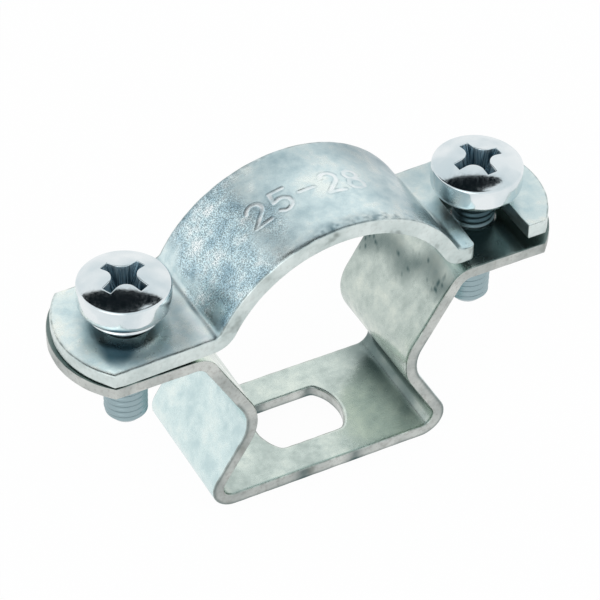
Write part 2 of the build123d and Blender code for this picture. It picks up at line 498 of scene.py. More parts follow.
@dataclass
class Strip:
    """A flat blank with an outline and holes, bent along a path.

    A point of the blank has a length along the strip, a place across it and a height in the
    sheet. Its outline and holes each carry the edge's section round them, and grids fill the two
    faces between the insets.
    """

    name: str
    path: BentPath
    width: float
    sheet: float
    edge: ShearedEdge
    step: float = 0.35
    net: Net = field(default_factory=Net)

    # Height, length and seed of each of the upper face's waves, and how far down their middle is.
    WAVES = ((0.012, 3.1, Seed.LONG_WAVES), (0.006, 1.2, Seed.SHORT_WAVES))
    WAVE_ROOM = 0.03
    # Length of the wall's unevenness, and how much shorter it is down the wall.
    WOBBLE_MM = 0.9
    WOBBLE_SHORTER = 1.5
    # How far from either face, down the edge, the upper face's marks change to the lower one's.
    MARK_EASE = 0.2
    # Points on each side that the roll's scale is a mean of.
    EASE_POINTS = 4

    def laid(self, points: Array) -> Array:
        """Moves finished points to where the piece lies. A plain strip stays."""
        return points

    def relief(self, along: Array, across: Array) -> Array:
        """How far the upper face lies under the sheet's full height: slow waves left by rolling."""
        waves = sum(height * value_noise(along, across, cell, seed) for height, cell, seed in self.WAVES)
        return self.WAVE_ROOM + waves

    def marks(self, along: Array, across: Array, upper: Array) -> dict[str, Array]:
        """The finish's marks at points of the blank. Upper is 1 on the upper face, 0 on the lower."""
        return {"tone": upper}

    def wall_dirt_and_shade(self, along: Array, height: Array) -> Array:
        """How dark the sheared edge is made at a place and height, by dirt and painted shade. A plain
        strip has none.
        """
        return np.zeros_like(along)

    def shares(self) -> Array:
        """Places across the strip, from 0 at the front to 1 at the back, for the faces' grids."""
        return spaced(0, 1, self.step / (self.width - 2 * self.edge.reach))

    def bend(self, along: Array, across: Array, height: Array) -> Array:
        """Puts points of the blank in space along the bent path."""
        x, z = self.path.place(along, height - self.sheet / 2)
        return self.laid(np.stack([x, across, z], axis=-1))

    def add_face(self, flat: Array, closed: bool = False) -> None:
        """Fills the upper and lower faces over one grid of the blank.

        Args:
            flat: Rows by columns by two.
            closed: Whether the last column meets the first.
        """
        along, across = flat[..., 0], flat[..., 1]
        upper = self.bend(along, across, self.sheet - self.relief(along, across))
        lower = self.bend(along, across, np.zeros_like(along))
        self.net.add_grid(upper, flat, self.marks(along, across, np.ones_like(along)), closed)
        self.net.add_grid(lower, flat, self.marks(along, across, np.zeros_like(along)), closed, flip=True)

    def add_rim(self, loop: Array, seed: int, over: Array, under: Array) -> Array:
        """Carries the edge's section round a closed loop.

        Args:
            loop: Points by two, with the metal on their left.
            seed: Picks the small unevenness of the edge.
            over: Scale of the roll at each point.
            under: Scale of the burr's round at each point.

        Returns:
            The loop's inset, where the faces begin.
        """
        steps = inset_steps(loop, self.edge.reach)
        inset, rows, shade = self.edge.profile(self.sheet, over, under)
        shade = np.broadcast_to(shade[:, None], rows.shape)
        run = np.concatenate([[0], np.cumsum(np.linalg.norm(np.diff(loop, axis=0), axis=1))])
        noise = value_noise(run[None] + 0 * rows, rows * self.WOBBLE_SHORTER, self.WOBBLE_MM, seed)
        rough = 0.5 + 0.5 * noise
        flat = loop[None] + (inset + self.edge.wobble * rough * shade)[..., None] * steps[None]
        top = np.where(rows > self.sheet / 2, 1 - shade, 0)
        sunk = rows - top * self.relief(flat[..., 0], flat[..., 1])
        points = self.bend(flat[..., 0], flat[..., 1], sunk)
        pattern = np.stack([np.broadcast_to(run, rows.shape), rows - inset], axis=-1)
        upper = smooth_step(rows, self.MARK_EASE, self.sheet - self.MARK_EASE)
        marks = self.marks(flat[..., 0], flat[..., 1], upper)
        marks["edge"] = shade
        # The face's soil and painted shade fade out down the edge, and the wall's soil and painted shade
        # come in.
        marks["film"] = marks.get("film", 0.0) * (1 - shade) + self.wall_dirt_and_shade(flat[..., 0], rows) * shade
        self.net.add_grid(points, pattern, marks, closed=True, flip=True)
        return loop + self.edge.reach * steps

    def add_outline(self, pieces: list[Array], seed: int,
                    scales: list[tuple[float | Array, float]]) -> list[Array]:
        """Carries the edge's section round an outline that is given in stretches.

        The roll and the round change gently where stretches with other scales meet, by a moving
        mean along the outline.

        Args:
            pieces: The stretches, each of which starts where the last one ended.
            seed: Picks the small unevenness of the edge.
            scales: Scales of the roll and of the burr's round, for each stretch or its points.

        Returns:
            The inset of each stretch.
        """
        sized = np.vstack([np.stack([np.broadcast_to(scale, len(piece))[:-1] for scale in pair], axis=1)
                           for pair, piece in zip(scales, pieces)])
        span = range(-self.EASE_POINTS, self.EASE_POINTS + 1)
        eased = sum(np.roll(sized, shift, axis=0) for shift in span) / len(span)
        inset = self.add_rim(joined(*pieces)[:-1], seed, eased[:, 0], eased[:, 1])
        starts = np.cumsum([0] + [len(piece) - 1 for piece in pieces[:-1]])
        return [np.take(inset, range(start, start + len(piece)), axis=0, mode="wrap")
                for start, piece in zip(starts, pieces)]

    def add_hole(self, outer: Array, hole: Array, seed: int, over: float) -> None:
        """Cuts a hole and fills the faces round it.

        Args:
            outer: Closed run of points round the hole, anticlockwise.
            hole: As many points of the hole, one facing each of them.
            seed: Picks the small unevenness of the edge.
            over: Scale of the roll.
        """
        even = np.ones(len(hole))
        inner = self.add_rim(hole[::-1], seed, over * even, even)[::-1]
        gap = float(np.max(np.linalg.norm(outer - inner, axis=1)))
        share = spaced(0, 1, self.step / gap)[:, None, None]
        self.add_face(outer[None] * (1 - share) + inner[None] * share, closed=True)

    def ruled(self, front: Array, rear: Array) -> Array:
        """A grid of straight rows from the front inset to the rear one, which runs the same way."""
        share = self.shares()[:, None, None]
        return front[None] * (1 - share) + rear[None] * share

    def finish(self) -> bpy.types.Object:
        """Makes the mesh object."""
        return self.net.to_object(self.name)


@dataclass
class SubAssembly:
    """A piece of the clip, which builds its own mesh and is dressed as what it stands for."""

    name: str
    body: Body
    node: str
    slot: Slot

    def build(self) -> bpy.types.Object:
        """Builds the piece's mesh object. Each kind of piece has its own way."""
        raise NotImplementedError

    def dress(self, material: bpy.types.Material) -> None:
        """Builds the piece and gives it its finish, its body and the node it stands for.

        Args:
            material: The piece's finish.
        """
        piece = self.build()
        piece.data.materials.append(material)
        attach(piece, self.body.value)
        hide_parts(self.node)
        LOG.info("%s: %d faces, rides on %s", piece.name, len(piece.data.polygons), self.body.value)


def joined_values(pieces: list[Array]) -> Array:
    """Joins stretches of rising values that share their ends."""
    return np.concatenate([pieces[0]] + [piece[1:] for piece in pieces[1:]])


def hole_facing(outer: Array, centre: float, radius: float) -> Array:
    """Points of a round hole on the strip's middle line that face the points of an outline."""
    angle = np.arctan2(outer[:, 1], outer[:, 0] - centre)
    return np.stack([centre + radius * np.cos(angle), radius * np.sin(angle)], axis=1)


@dataclass(frozen=True)
class BracketSizes:
    """The bracket's driving sizes, as on its drawing, and where its faces' grids are divided.

    An ear is square for so far beyond its screw, and its tip is round. Angles are to the foot.
    """

    width: float = 16.0
    sheet: float = 1.5
    ear_height: float = 24.25
    cradle_mouth: float = 31.1
    cradle_angle: float = 60.0
    foot_span: float = 34.3
    leg_angle: float = 60.0
    shoulder_bend: float = 1.5
    knee_bend: float = 4.5
    foot_bend: float = 1.4
    screw_x: float = 22.0
    ear_square: float = 4.8
    ear_round: float = 8.4
    thread_hole: float = 2.55
    slot_length: float = 10.6
    slot_width: float = 7.4
    slot_sharpness: float = 40.0
    ear_inner: float = 4.4
    foot_part: float = 6.6

    def corners(self) -> list[tuple[float, float]]:
        """Finds the upper face's corners, where its straight runs would meet if nothing were bent.

        Returns:
            X and Z of each corner, from the left ear's tip to the right one's.
        """
        cradle_run = 1 / math.tan(math.radians(self.cradle_angle))
        leg_run = 1 / math.tan(math.radians(self.leg_angle))
        mouth_x = self.cradle_mouth / 2
        leg_x = self.foot_span / 2 - self.sheet / math.sin(math.radians(self.leg_angle))
        knee_z = (leg_x - mouth_x + self.ear_height * cradle_run) / (cradle_run + leg_run)
        knee_x = leg_x - knee_z * leg_run
        foot_x = leg_x - self.sheet * leg_run
        tip = self.screw_x + self.ear_round
        right = [(foot_x, self.sheet), (knee_x, knee_z), (mouth_x, self.ear_height),
                 (tip, self.ear_height)]
        return [(-x, z) for x, z in reversed(right)] + right

    def path(self) -> BentPath:
        """Finds the middle line: each corner becomes an arc that is tangent to its two runs.

        An arc trims both runs by its radius at the face times the tangent of half the turn.

        Returns:
            The path, with its zero in the middle.
        """
        points = self.corners()
        bends = [self.shoulder_bend, self.knee_bend, self.foot_bend]
        bends = bends + bends[::-1]
        runs: list[tuple[float, float]] = []
        used = 0.0
        for before, here, after, bend in zip(points, points[1:], points[2:], bends):
            first = math.atan2(here[1] - before[1], here[0] - before[0])
            second = math.atan2(after[1] - here[1], after[0] - here[0])
            turn = (second - first + math.pi) % (2 * math.pi) - math.pi
            radius = bend + self.sheet / 2
            face = bend if turn > 0 else bend + self.sheet
            trim = face * math.tan(abs(turn) / 2)
            runs.append((math.dist(before, here) - used - trim, 0.0))
            runs.append((radius * abs(turn), math.copysign(1 / radius, turn)))
            used = trim
        runs.append((math.dist(points[-2], points[-1]) - used, 0.0))
        start = (points[0][0], points[0][1] - self.sheet / 2)
        return BentPath(start, tuple(runs), sum(run[0] for run in runs) / 2)


@dataclass
class LowerBracket(Strip):
    """The bracket's strip, with painted shade on top of its ears under the strap and on its right
    side, in the shade and reflection of the arch.

    The marks' places are lengths along the strip, from the middle, or from the start or the end
    of the bend that their method adds them to.
    """

    # Painted shade and reflection: on the ears' tops under the strap, in a band on the right flank where
    # the arch's underside is reflected, in the right crease of the foot and on the right leg.
    PAINTED_SHADE_UNEVEN = 1.4
    PAINTED_SHADE_UNEVEN_MM = 3.4
    PAINTED_EAR_SHADE = Rise(-0.6, 1.4, 0.8)
    PAINTED_FLANK_REFLECTION = Bell(0.82, -4.6, 2.4)
    FLANK_SLANT = 0.3
    FLANK_START = Rise(0.0, 3.0)
    PITS = Rise(0.55, 0.75)
    PIT_MM = 0.35
    PIT_SHADES = (0.9, 0.5)
    PAINTED_CORNER_SHADE = Bell(0.84, -2.2, 4.4)
    CORNER_UNEVEN = 1.3
    CORNER_FRONT = Rise(2.0, 7.5, 0.6)
    PAINTED_LEG_SHADE = Rise(-1.0, 2.0, 0.19)
    STRUCK = (Bell(1.0, -3.4, 0.9), Bell(0.8, 3.3, 0.7))
    STRUCK_SHARE = 0.6
    SOIL = (0.15, 0.15)
    SOIL_MM = 1.6
    LOWER_CORNER = Rise(0.15, 0.5)
    LOWER_CORNER_DARK = 0.45
    LOWER_CORNER_REACH = 30

    def marks(self, along: Array, across: Array, upper: Array) -> dict[str, Array]:
        """Finds the upper face's own tone and its painted shade.

        Painted shade and reflection cover the ears' tops, where the strap lies over them. On the
        right, painted shade also lies in a slanting, pitted band on the flank, where the arch's
        dark underside is reflected, in a patch where the leg meets the foot, and thinly on all of
        the leg.

        Args:
            along: Places along the strip.
            across: Places across it.
            upper: 1 on the upper face, 0 on the lower.

        Returns:
            The tone and the painted shade at each place.
        """
        stations = self.path.stations()
        ear, knee, foot = stations[-2], stations[-4], stations[-6]
        uneven = self.PAINTED_SHADE_UNEVEN * value_noise(along, across, self.PAINTED_SHADE_UNEVEN_MM, Seed.BRACKET_PAINTED_SHADE)
        # Painted shade on the ears' tops where the strap lies.
        covered = self.PAINTED_EAR_SHADE.at(np.abs(along), ear)
        slanted = along + self.FLANK_SLANT * across + uneven
        # Painted reflection of the arch's dark underside, as a band on the right flank.
        shaded = self.PAINTED_FLANK_REFLECTION.at(slanted, ear) * self.FLANK_START.at(along, knee)
        pits = self.PITS.at(value_noise(along, across, self.PIT_MM, Seed.BRACKET_PITS))
        shaded = shaded * (self.PIT_SHADES[0] + self.PIT_SHADES[1] * pits)
        # Painted shade in the crease where the right leg meets the foot.
        corner = self.PAINTED_CORNER_SHADE.at(along + self.CORNER_UNEVEN * uneven, foot)
        corner = corner * self.CORNER_FRONT.until(-across) * (along < knee)
        # Painted shade on the whole right leg.
        leg = self.PAINTED_LEG_SHADE.at(along, foot)
        film = np.maximum(np.maximum(covered, shaded), np.maximum(corner, leg))
        return {"tone": upper, "film": np.clip(film, 0, 1) * upper}

    def wall_dirt_and_shade(self, along: Array, height: Array) -> Array:
        """Finds how dark the sheared wall is.

        The foot was struck at two places. All of the wall is faintly soiled, and its lower
        corner is darkened as painted shade.

        Args:
            along: Places along the strip.
            height: Heights above the lower face.

        Returns:
            How dark the wall is at each place.
        """
        struck = self.STRUCK[0].at(along) + self.STRUCK[1].at(along)
        soiled = self.SOIL[0] + self.SOIL[1] * value_noise(along, 0 * along, self.SOIL_MM,
                                                           Seed.BRACKET_WALL)
        # Painted shade along the wall's lower corner.
        near = np.abs(along) < self.LOWER_CORNER_REACH
        corner = self.LOWER_CORNER_DARK * self.LOWER_CORNER.until(height) * near
        return np.clip(self.STRUCK_SHARE * struck + soiled + corner, 0, 1)


@dataclass
class Bracket(SubAssembly):
    """The bracket: two ears with tapped holes, the bent strip and the slotted foot."""

    name: str = "bracket_sheet"
    body: Body = Body.BRACKET
    node: str = "lower_bracket"
    slot: Slot = Slot.BRACKET
    sizes: BracketSizes = BracketSizes()
    edge: ShearedEdge = ShearedEdge(roll_in=0.5, roll_drop=0.28, burr=0.2, wobble=0.06)

    # The edge is rolled less where the strap covers it, round the ears' tips and in the holes.
    COVERED = Rise(-3.5, -1.5, 0.75)
    EAR_ROLL = 0.5
    HOLE_ROLL = 0.4
    FOOT_HOLE_ROLL = 1.0
    # A ray that hardly rises meets the foot hole's flats far outside its circle.
    LEAST_SINE = 1e-3

    def build(self) -> bpy.types.Object:
        """Lays out the blank and bends it.

        Returns:
            The bracket's mesh object.
        """
        s = self.sizes
        strip = LowerBracket(self.name, s.path(), s.width, s.sheet, self.edge)
        half = s.width / 2
        reach = strip.path.length / 2
        hole_s = reach - s.ear_round
        square = hole_s + s.ear_square
        ear_in = hole_s - s.ear_inner
        stations = [v for v in strip.path.stations() if -ear_in < v < ear_in]
        cuts = sorted(set(stations + [-ear_in, -s.foot_part, s.foot_part, ear_in]))
        along = joined_values([spaced(a, b, strip.step) for a, b in zip(cuts, cuts[1:])])
        right = joined(straight((ear_in, -half), (square, -half), strip.step),
                       arc_through((square, -half), reach, (square, half), strip.step),
                       straight((square, half), (ear_in, half), strip.step))
        front = np.stack([along, np.full_like(along, -half)], axis=1)
        scales = [(self.COVERED.until(np.abs(along), stations[-1]), 1), (self.EAR_ROLL, 1)]
        front, right, rear, left = strip.add_outline([front, right, -front, -right], Seed.BRACKET_RIM,
                                                     scales * 2)
        whole = strip.ruled(front, rear[::-1])
        first = int(np.searchsorted(along, -s.foot_part - WELD_MM))
        last = int(np.searchsorted(along, s.foot_part - WELD_MM))
        strip.add_face(whole[:, :first + 1])
        strip.add_face(whole[:, last:])
        self._foot(strip, whole[:, first:last + 1])
        for side, ear, across in ((1, right, whole[::-1, -1]), (-1, left, whole[:, 0])):
            outer = joined(ear, across)[:-1]
            hole = hole_facing(outer, side * hole_s, s.thread_hole)
            strip.add_hole(outer, hole, Seed.BRACKET_HOLES + side, self.HOLE_ROLL)
        return strip.finish()

    def _foot(self, strip: LowerBracket, part: Array) -> None:
        """Fills the foot's middle part round its slotted hole.

        The hole is the nearer of a circle and two flats, seen from its centre, and a smooth
        minimum of the two distances eases its corners.

        Args:
            strip: The strip that the foot is part of.
            part: The foot's grid, rows by columns by two.
        """
        outer = joined(part[0], part[:, -1], part[-1, ::-1], part[::-1, 0])[:-1]
        angle = np.arctan2(outer[:, 1], outer[:, 0])
        circle = np.full_like(angle, self.sizes.slot_length / 2)
        flat = self.sizes.slot_width / 2 / np.maximum(np.abs(np.sin(angle)), self.LEAST_SINE)
        sharp = self.sizes.slot_sharpness
        radius = (circle ** -sharp + flat ** -sharp) ** (-1 / sharp)
        hole = np.stack([radius * np.cos(angle), radius * np.sin(angle)], axis=1)
        strip.add_hole(outer, hole, Seed.FOOT_HOLE, self.FOOT_HOLE_ROLL)


@dataclass(frozen=True)
class StrapSizes:
    """The strap's driving sizes and how it lies on the ears.

    The arch's axis is a drop below the ears' underside and a shift right of the middle. The
    slot's sides are so far left and right of the screw, and its left one flares at the front.
    The strap lies tilted, turned and slipped to the front, with its left tip at the seat.
    """

    width: float = 15.0
    sheet: float = 1.95
    arch_radius: float = 14.7
    arch_drop: float = 5.1
    arch_shift: float = 0.65
    arch_bend: float = 1.0
    screw_x: float = 22.0
    square: float = 5.0
    round_tip: float = 8.05
    hole: float = 2.975
    slot_left: float = 3.85
    slot_right: float = 2.7
    slot_flare: float = 0.35
    slot_end: float = 0.6
    tilt: float = 0.95
    yaw: float = 0.6
    slip: float = 0.4
    seat: float = 24.28
    tine_nose: float = 0.7
    ear_margin: float = 0.2
    tongue_rows: int = 12

    def arch_lean(self) -> tuple[float, float]:
        """Finds how far the arch reaches round before its bends begin.

        A bend's centre is the arch's radius, the sheet and the bend's radius from the arch's axis.

        Returns:
            Half the arch's angle, and how far the bend's centre is from the axis along X.
        """
        rise = self.sheet + self.arch_bend + self.arch_drop
        span = self.arch_radius + self.sheet + self.arch_bend
        reach = math.sqrt(span ** 2 - rise ** 2)
        return math.atan2(reach, rise), reach

    def path(self) -> BentPath:
        """Finds the level strap's middle line: an ear, a bend, the arch, a bend and an ear.

        Returns:
            The path, with its zero at the arch's crown.
        """
        lean, reach = self.arch_lean()
        tip = self.screw_x + self.round_tip
        left = tip - reach + self.arch_shift
        right = tip - reach - self.arch_shift
        small = self.arch_bend + self.sheet / 2
        large = self.arch_radius + self.sheet / 2
        runs = ((left, 0.0), (small * lean, 1 / small), (2 * large * lean, -1 / large),
                (small * lean, 1 / small), (right, 0.0))
        return BentPath((-tip, self.sheet / 2), runs, left + small * lean + large * lean)


class Stamp:
    """Plain numerals pressed into the crown of the arch, as strokes of lines and arcs.

    Each figure stands in a box one high, and is given by its strokes' points. An arc's points
    come from its centre, its two half widths and its two angles.
    """

    HEIGHT = 3.2
    WIDTH = 2.0
    STROKE = 0.5
    DEPTH = 0.045
    PLACES = (("2", -6.3), ("5", -3.35), ("-", -0.45), ("2", 2.45), ("8", 5.25))
    LEVEL = 0.1
    # The part of the strip, along and on both sides of its middle, where the grid is fine.
    SPAN = (-8.2, 7.2)
    SIDE = 2.3
    FINE = 0.11
    ARC_POINTS = 9
    FAR = 9.0
    # The next places are distances from a stroke's middle, in half widths of a stroke.
    LIP = Bell(0.02, 1.35, 0.3)
    # Painted shadow along the strokes' walls, and the painted highlight on their floors.
    OUTLINE_SHADOW = Bell(1.0, 1.25, 0.3)
    SHINE = Rise(0.6, 1.1)
    GROOVE_POWERS = (4, 0.7)
    # Mean, swing and length in millimetres of each noise.
    UNEVEN = (0.75, 0.35, 0.8)
    HIGHLIGHT_UNEVEN = (0.8, 0.5, 0.7)
    BROKEN = (0.16, 0.35, 0.6)

    @staticmethod
    def arc(x: float, y: float, rx: float, ry: float, start: float, end: float) -> list[list[float]]:
        """Points of an elliptic arc between two angles in degrees."""
        angle = np.radians(np.linspace(start, end, Stamp.ARC_POINTS))
        return np.stack([x + rx * np.cos(angle), y + ry * np.sin(angle)], axis=1).tolist()

    @staticmethod
    def noise(kind: tuple[float, float, float], along: Array, across: Array,
              seed: int) -> Array:
        """A noise of its own mean, swing and length."""
        return kind[0] + kind[1] * value_noise(along, across, kind[2], seed)

    def strokes(self, figure: str) -> list[list[list[float]]]:
        """Finds the strokes of one figure.

        Args:
            figure: The figure, or a dash.

        Returns:
            Each stroke's points, in the figure's own box from -0.5 to 0.5.
        """
        if figure == "2":
            return [self.arc(0, 0.22, 0.45, 0.28, 165, -35) + [[-0.45, -0.5], [0.48, -0.5]]]
        if figure == "5":
            return [[[0.42, 0.5], [-0.36, 0.5], [-0.42, 0.06]]
                    + self.arc(-0.02, -0.18, 0.46, 0.32, 130, -140)]
        if figure == "8":
            return [self.arc(0, 0.27, 0.38, 0.23, -90, 270), self.arc(0, -0.24, 0.46, 0.26, 90, 450)]
        return [[[-0.42, 0.0], [0.42, 0.0]]]

    def reach(self, along: Array, across: Array) -> Array:
        """Finds the distance to the nearest stroke's middle.

        Each stretch of a stroke is a segment, and the foot of the perpendicular on it is held
        between its ends.

        Args:
            along: Places along the strip.
            across: Places across it.

        Returns:
            The distance at each place, in half widths of a stroke.
        """
        near = np.full(along.shape, self.FAR)
        for figure, place in self.PLACES:
            for stroke in self.strokes(figure):
                points = np.array(stroke) * (self.WIDTH, self.HEIGHT) + (place, self.LEVEL)
                for a, b in zip(points, points[1:]):
                    run = b - a
                    x, y = along - a[0], across - a[1]
                    share = np.clip((x * run[0] + y * run[1]) / (run @ run), 0, 1)
                    near = np.minimum(near, np.hypot(x - share * run[0], y - share * run[1]))
        return near / (self.STROKE / 2)

    def depth(self, along: Array, across: Array) -> Array:
        """Finds how deep the numerals are: a flat-bottomed groove with a raised lip.

        The groove's depth falls with the fourth power of the distance from its stroke's middle,
        and the lip is a bell just outside it.

        Args:
            along: Places along the strip.
            across: Places across it.

        Returns:
            The depth at each place, in millimetres.
        """
        reach = self.reach(along, across)
        uneven = self.noise(self.UNEVEN, along, across, Seed.FIGURE_DEPTH)
        steep, flat = self.GROOVE_POWERS
        groove = np.clip(1 - reach ** steep, 0, 1) ** flat
        return uneven * (self.DEPTH * groove - self.LIP.at(reach))

    def floor(self, along: Array, across: Array) -> Array:
        """The painted highlight on the strokes' floors: 1 in a stroke's middle and nothing outside it."""
        worn = self.noise(self.HIGHLIGHT_UNEVEN, along, across, Seed.FIGURE_SHINE)
        return np.clip(worn * self.SHINE.until(self.reach(along, across)), 0, 1)

    def outline(self, along: Array, across: Array) -> Array:
        """How dark the painted shadow is along each stroke's wall, in broken lines."""
        broken = self.noise(self.BROKEN, along, across, Seed.FIGURE_SHADOW)
        return np.clip(broken, 0, 1) * self.OUTLINE_SHADOW.at(self.reach(along, across))


@dataclass(frozen=True)
class HeadShadeAndReflection:
    """Painted shade and reflection of the left screw's head on the strap: a ring, and a fan that narrows
    towards the ear's corner.

    Places are in millimetres from the hole's centre, apart from the fan's side, which is a share
    of its half width there.
    """

    uneven_mm: float = 2.2
    ring_centre: tuple[float, float] = (0.8, -1.8)
    ring_squash: float = 0.9
    ring_uneven: float = 0.7
    ring_inner: Rise = Rise(1.0, 4.5, 0.62)
    ring_outer: Rise = Rise(4.2, 7.8)
    fan_heading: tuple[float, float] = (-0.55, -0.83)
    fan_width: float = 7.4
    fan_taper: float = 0.8
    fan_least: float = 0.8
    fan_dark: float = 0.92
    fan_side: Rise = Rise(0.3, 1.15)
    fan_side_uneven: float = 0.12
    fan_start: Rise = Rise(1.5, 4.5)
    fan_end: Rise = Rise(5.6, 8.8)
    fan_end_uneven: float = 0.5

    def at(self, beyond: Array, across: Array, uneven: Array) -> Array:
        """Finds the painted shade and reflection, whose shape is the darker of the ring and the fan.

        Args:
            beyond: Places along the strip, from the hole's centre.
            across: Places across it.
            uneven: Noise from -1 to 1 that moves the film's edges.

        Returns:
            How dark the painted shade and reflection are at each place.
        """
        centre_x, centre_y = self.ring_centre
        ring = np.hypot(beyond - centre_x, self.ring_squash * (across - centre_y))
        ring = self.ring_inner.at(ring) * self.ring_outer.until(ring + self.ring_uneven * uneven)
        x, y = self.fan_heading
        ahead = x * beyond + y * across
        half = np.maximum(self.fan_width - self.fan_taper * ahead, self.fan_least)
        side = np.abs(x * across - y * beyond) / half
        fan = self.fan_dark * self.fan_side.until(side + self.fan_side_uneven * uneven)
        fan = fan * self.fan_start.at(ahead) * self.fan_end.until(ahead + self.fan_end_uneven * uneven)
        return np.maximum(ring, fan)


@dataclass
class UpperStrap(Strip):
    """Arch, bends and ears of the strap, with the lie of the loose strap on the bracket.

    The marks' places are lengths along the strip, from the crown, or from the start or the end of
    the bend that their method adds them to.
    """

    sizes: StrapSizes = field(default_factory=StrapSizes)
    stamp: Stamp = field(default_factory=Stamp)
    head_shade_and_reflection: HeadShadeAndReflection = HeadShadeAndReflection()

    # Painted reflection: a dark streak in the concave left bend.
    STREAK_SHARE = 0.2
    STREAK = Bell(1.0, 0.0, 0.55)
    STREAK_SHADES = (0.6, 0.3)
    STREAK_MM = 1.9
    SPECK_SHADES = (0.7, 0.5)
    SPECK_MM = 0.35
    FRONT_SOIL = Patch(0.62, Rise(5.2, 7.0), Rise(-6.5, -1.0), Rise(8.0, 12.0))
    REAR_SOIL = Patch(0.5, Rise(6.0, 7.2), Rise(-17.0, -14.0), Rise(-3.0, 2.0))
    # Painted shade at the arch's rear and right.
    REAR_SHADE = Rise(1.0, 6.5, 0.26)
    REAR_START = Rise(-9.0, -2.0)
    RIGHT_SHADE = Rise(3.0, 9.0, 0.36)
    ON_EAR = Rise(-1.0, 2.0)
    EAR_LESS = (0.3, 0.6)
    UNEVEN = 2.2
    UNEVEN_MM = 2.6
    ARCH_MIDDLE = -0.8
    ARCH_UNEVEN = 0.5
    ARCH_END = Rise(-2.0, 1.5)
    GRAIN_START = Rise(-0.5, 2.0)
    GRAIN_END = Rise(-9.0, -4.5)
    # Painted highlight: a pale line beside the streak in the left bend.
    BEND_HIGHLIGHT = Bell(0.75, -0.75, 0.4)
    BEND_HIGHLIGHT_SHADES = (0.45, 0.1, 0.3)
    BEND_HIGHLIGHT_BREAK = 2.0

    def relief(self, along: Array, across: Array) -> Array:
        """The sheet's slow waves and the numerals on the crown."""
        return super().relief(along, across) + self.stamp.depth(along, across)

    def marks(self, along: Array, across: Array, upper: Array) -> dict[str, Array]:
        """Finds the upper face's marks.

        The arch has a bluer tone, and its left flank a coarse grain. The numerals' floors and a
        line in the left bend carry a painted highlight. Everything else darkens: soil on the arch's
        two edges, and painted shade and reflection, which are a streak along that bend, shade at
        the arch's rear and right, a shadow along the numerals' walls, and the head's shade and
        reflection round the left screw.

        Args:
            along: Places along the strip.
            across: Places across it.
            upper: 1 on the upper face, 0 on the lower.

        Returns:
            The tone, the grain, the soil and painted shade, and the painted highlight at each place.
        """
        stations = self.path.stations()
        bend = stations[3]
        uneven = self.UNEVEN * value_noise(along, across, self.UNEVEN_MM, Seed.STRAP_TONES)
        middle = self.ARCH_END.until(np.abs(along - self.ARCH_MIDDLE) + self.ARCH_UNEVEN * uneven, bend)
        grain = self.GRAIN_START.at(along + uneven, -bend) * self.GRAIN_END.until(along + uneven) * upper
        # Painted highlight on a line in the left bend and on the numerals' floors.
        base, slope, swing = self.BEND_HIGHLIGHT_SHADES
        pale = base + slope * across * np.sign(across - self.BEND_HIGHLIGHT_BREAK) + swing * uneven / self.UNEVEN
        pale = self.BEND_HIGHLIGHT.at(along, stations[1]) * np.clip(pale, 0, 1)
        burnish = np.maximum(self.stamp.floor(along, across), pale)
        return {"tone": middle, "grain": grain, "film": self.film(along, across) * upper,
                "burnish": burnish * upper}

    def film(self, along: Array, across: Array) -> Array:
        """Finds how dark the upper face is made by soil and by painted shade and reflection.

        Args:
            along: Places along the strip.
            across: Places across it.

        Returns:
            The darkest of its parts at each place.
        """
        stations = self.path.stations()
        bend = stations[3]
        streak_at = stations[1] + self.STREAK_SHARE * (stations[2] - stations[1])
        noise = value_noise(along, across, self.STREAK_MM, Seed.BEND_PAINTED_REFLECTION)
        shades = self.STREAK_SHADES
        # Painted reflection in the concave left bend.
        streak = self.STREAK.at(along, streak_at) * (shades[0] + shades[1] * noise)
        noise = value_noise(along, across, self.SPECK_MM, Seed.STRAP_SPECKS)
        speck = self.SPECK_SHADES[0] + self.SPECK_SHADES[1] * noise
        front = self.FRONT_SOIL.at(along, -across) * speck
        edge = self.REAR_SOIL.at(along, across) * speck
        on_ear = self.ON_EAR.at(along, bend)
        # Painted shade at the arch's rear and right.
        rear = self.REAR_SHADE.at(across) * self.REAR_START.at(along) * (1 - self.EAR_LESS[0] * on_ear)
        right = self.RIGHT_SHADE.at(along) * (1 - self.EAR_LESS[1] * on_ear)
        hole = stations[0] + self.sizes.round_tip
        uneven = value_noise(along, across, self.head_shade_and_reflection.uneven_mm, Seed.PAINTED_EAR_SHADE)
        # Painted shade and reflection of the left screw's head.
        screw = self.head_shade_and_reflection.at(along - hole, across, uneven)
        # Painted shadow along the numerals' walls.
        dirt = self.stamp.outline(along, across)
        return np.clip(np.max([streak, screw, front, rear + right, edge, dirt], axis=0), 0, 1)

    def shares(self) -> Array:
        """Finds places across the strip, close together where the numerals are.

        Returns:
            Shares from 0 at the front to 1 at the back.
        """
        half = self.width / 2 - self.edge.reach
        side = self.stamp.SIDE
        places = joined_values([spaced(-half, -side, self.step), spaced(-side, side, self.stamp.FINE),
                                spaced(side, half, self.step)])
        return (places + half) / (2 * half)

    def laid(self, points: Array) -> Array:
        """Tilts the level strap about its left tip, then turns it about the left screw.

        Args:
            points: Points of the level strap, which lies on Z = 0.

        Returns:
            The same points as the strap lies on the bracket's ears.
        """
        s = self.sizes
        tip = s.screw_x + s.round_tip
        tilt = math.radians(s.tilt)
        yaw = math.radians(s.yaw)
        x = (points[..., 0] + tip) * math.cos(tilt) - points[..., 2] * math.sin(tilt) - tip
        z = (points[..., 0] + tip) * math.sin(tilt) + points[..., 2] * math.cos(tilt) + s.seat
        from_screw = x + s.screw_x
        y = points[..., 1]
        turned_x = from_screw * math.cos(yaw) - y * math.sin(yaw) - s.screw_x
        turned_y = from_screw * math.sin(yaw) + y * math.cos(yaw) - s.slip
        return np.stack([turned_x, turned_y, z], axis=-1)


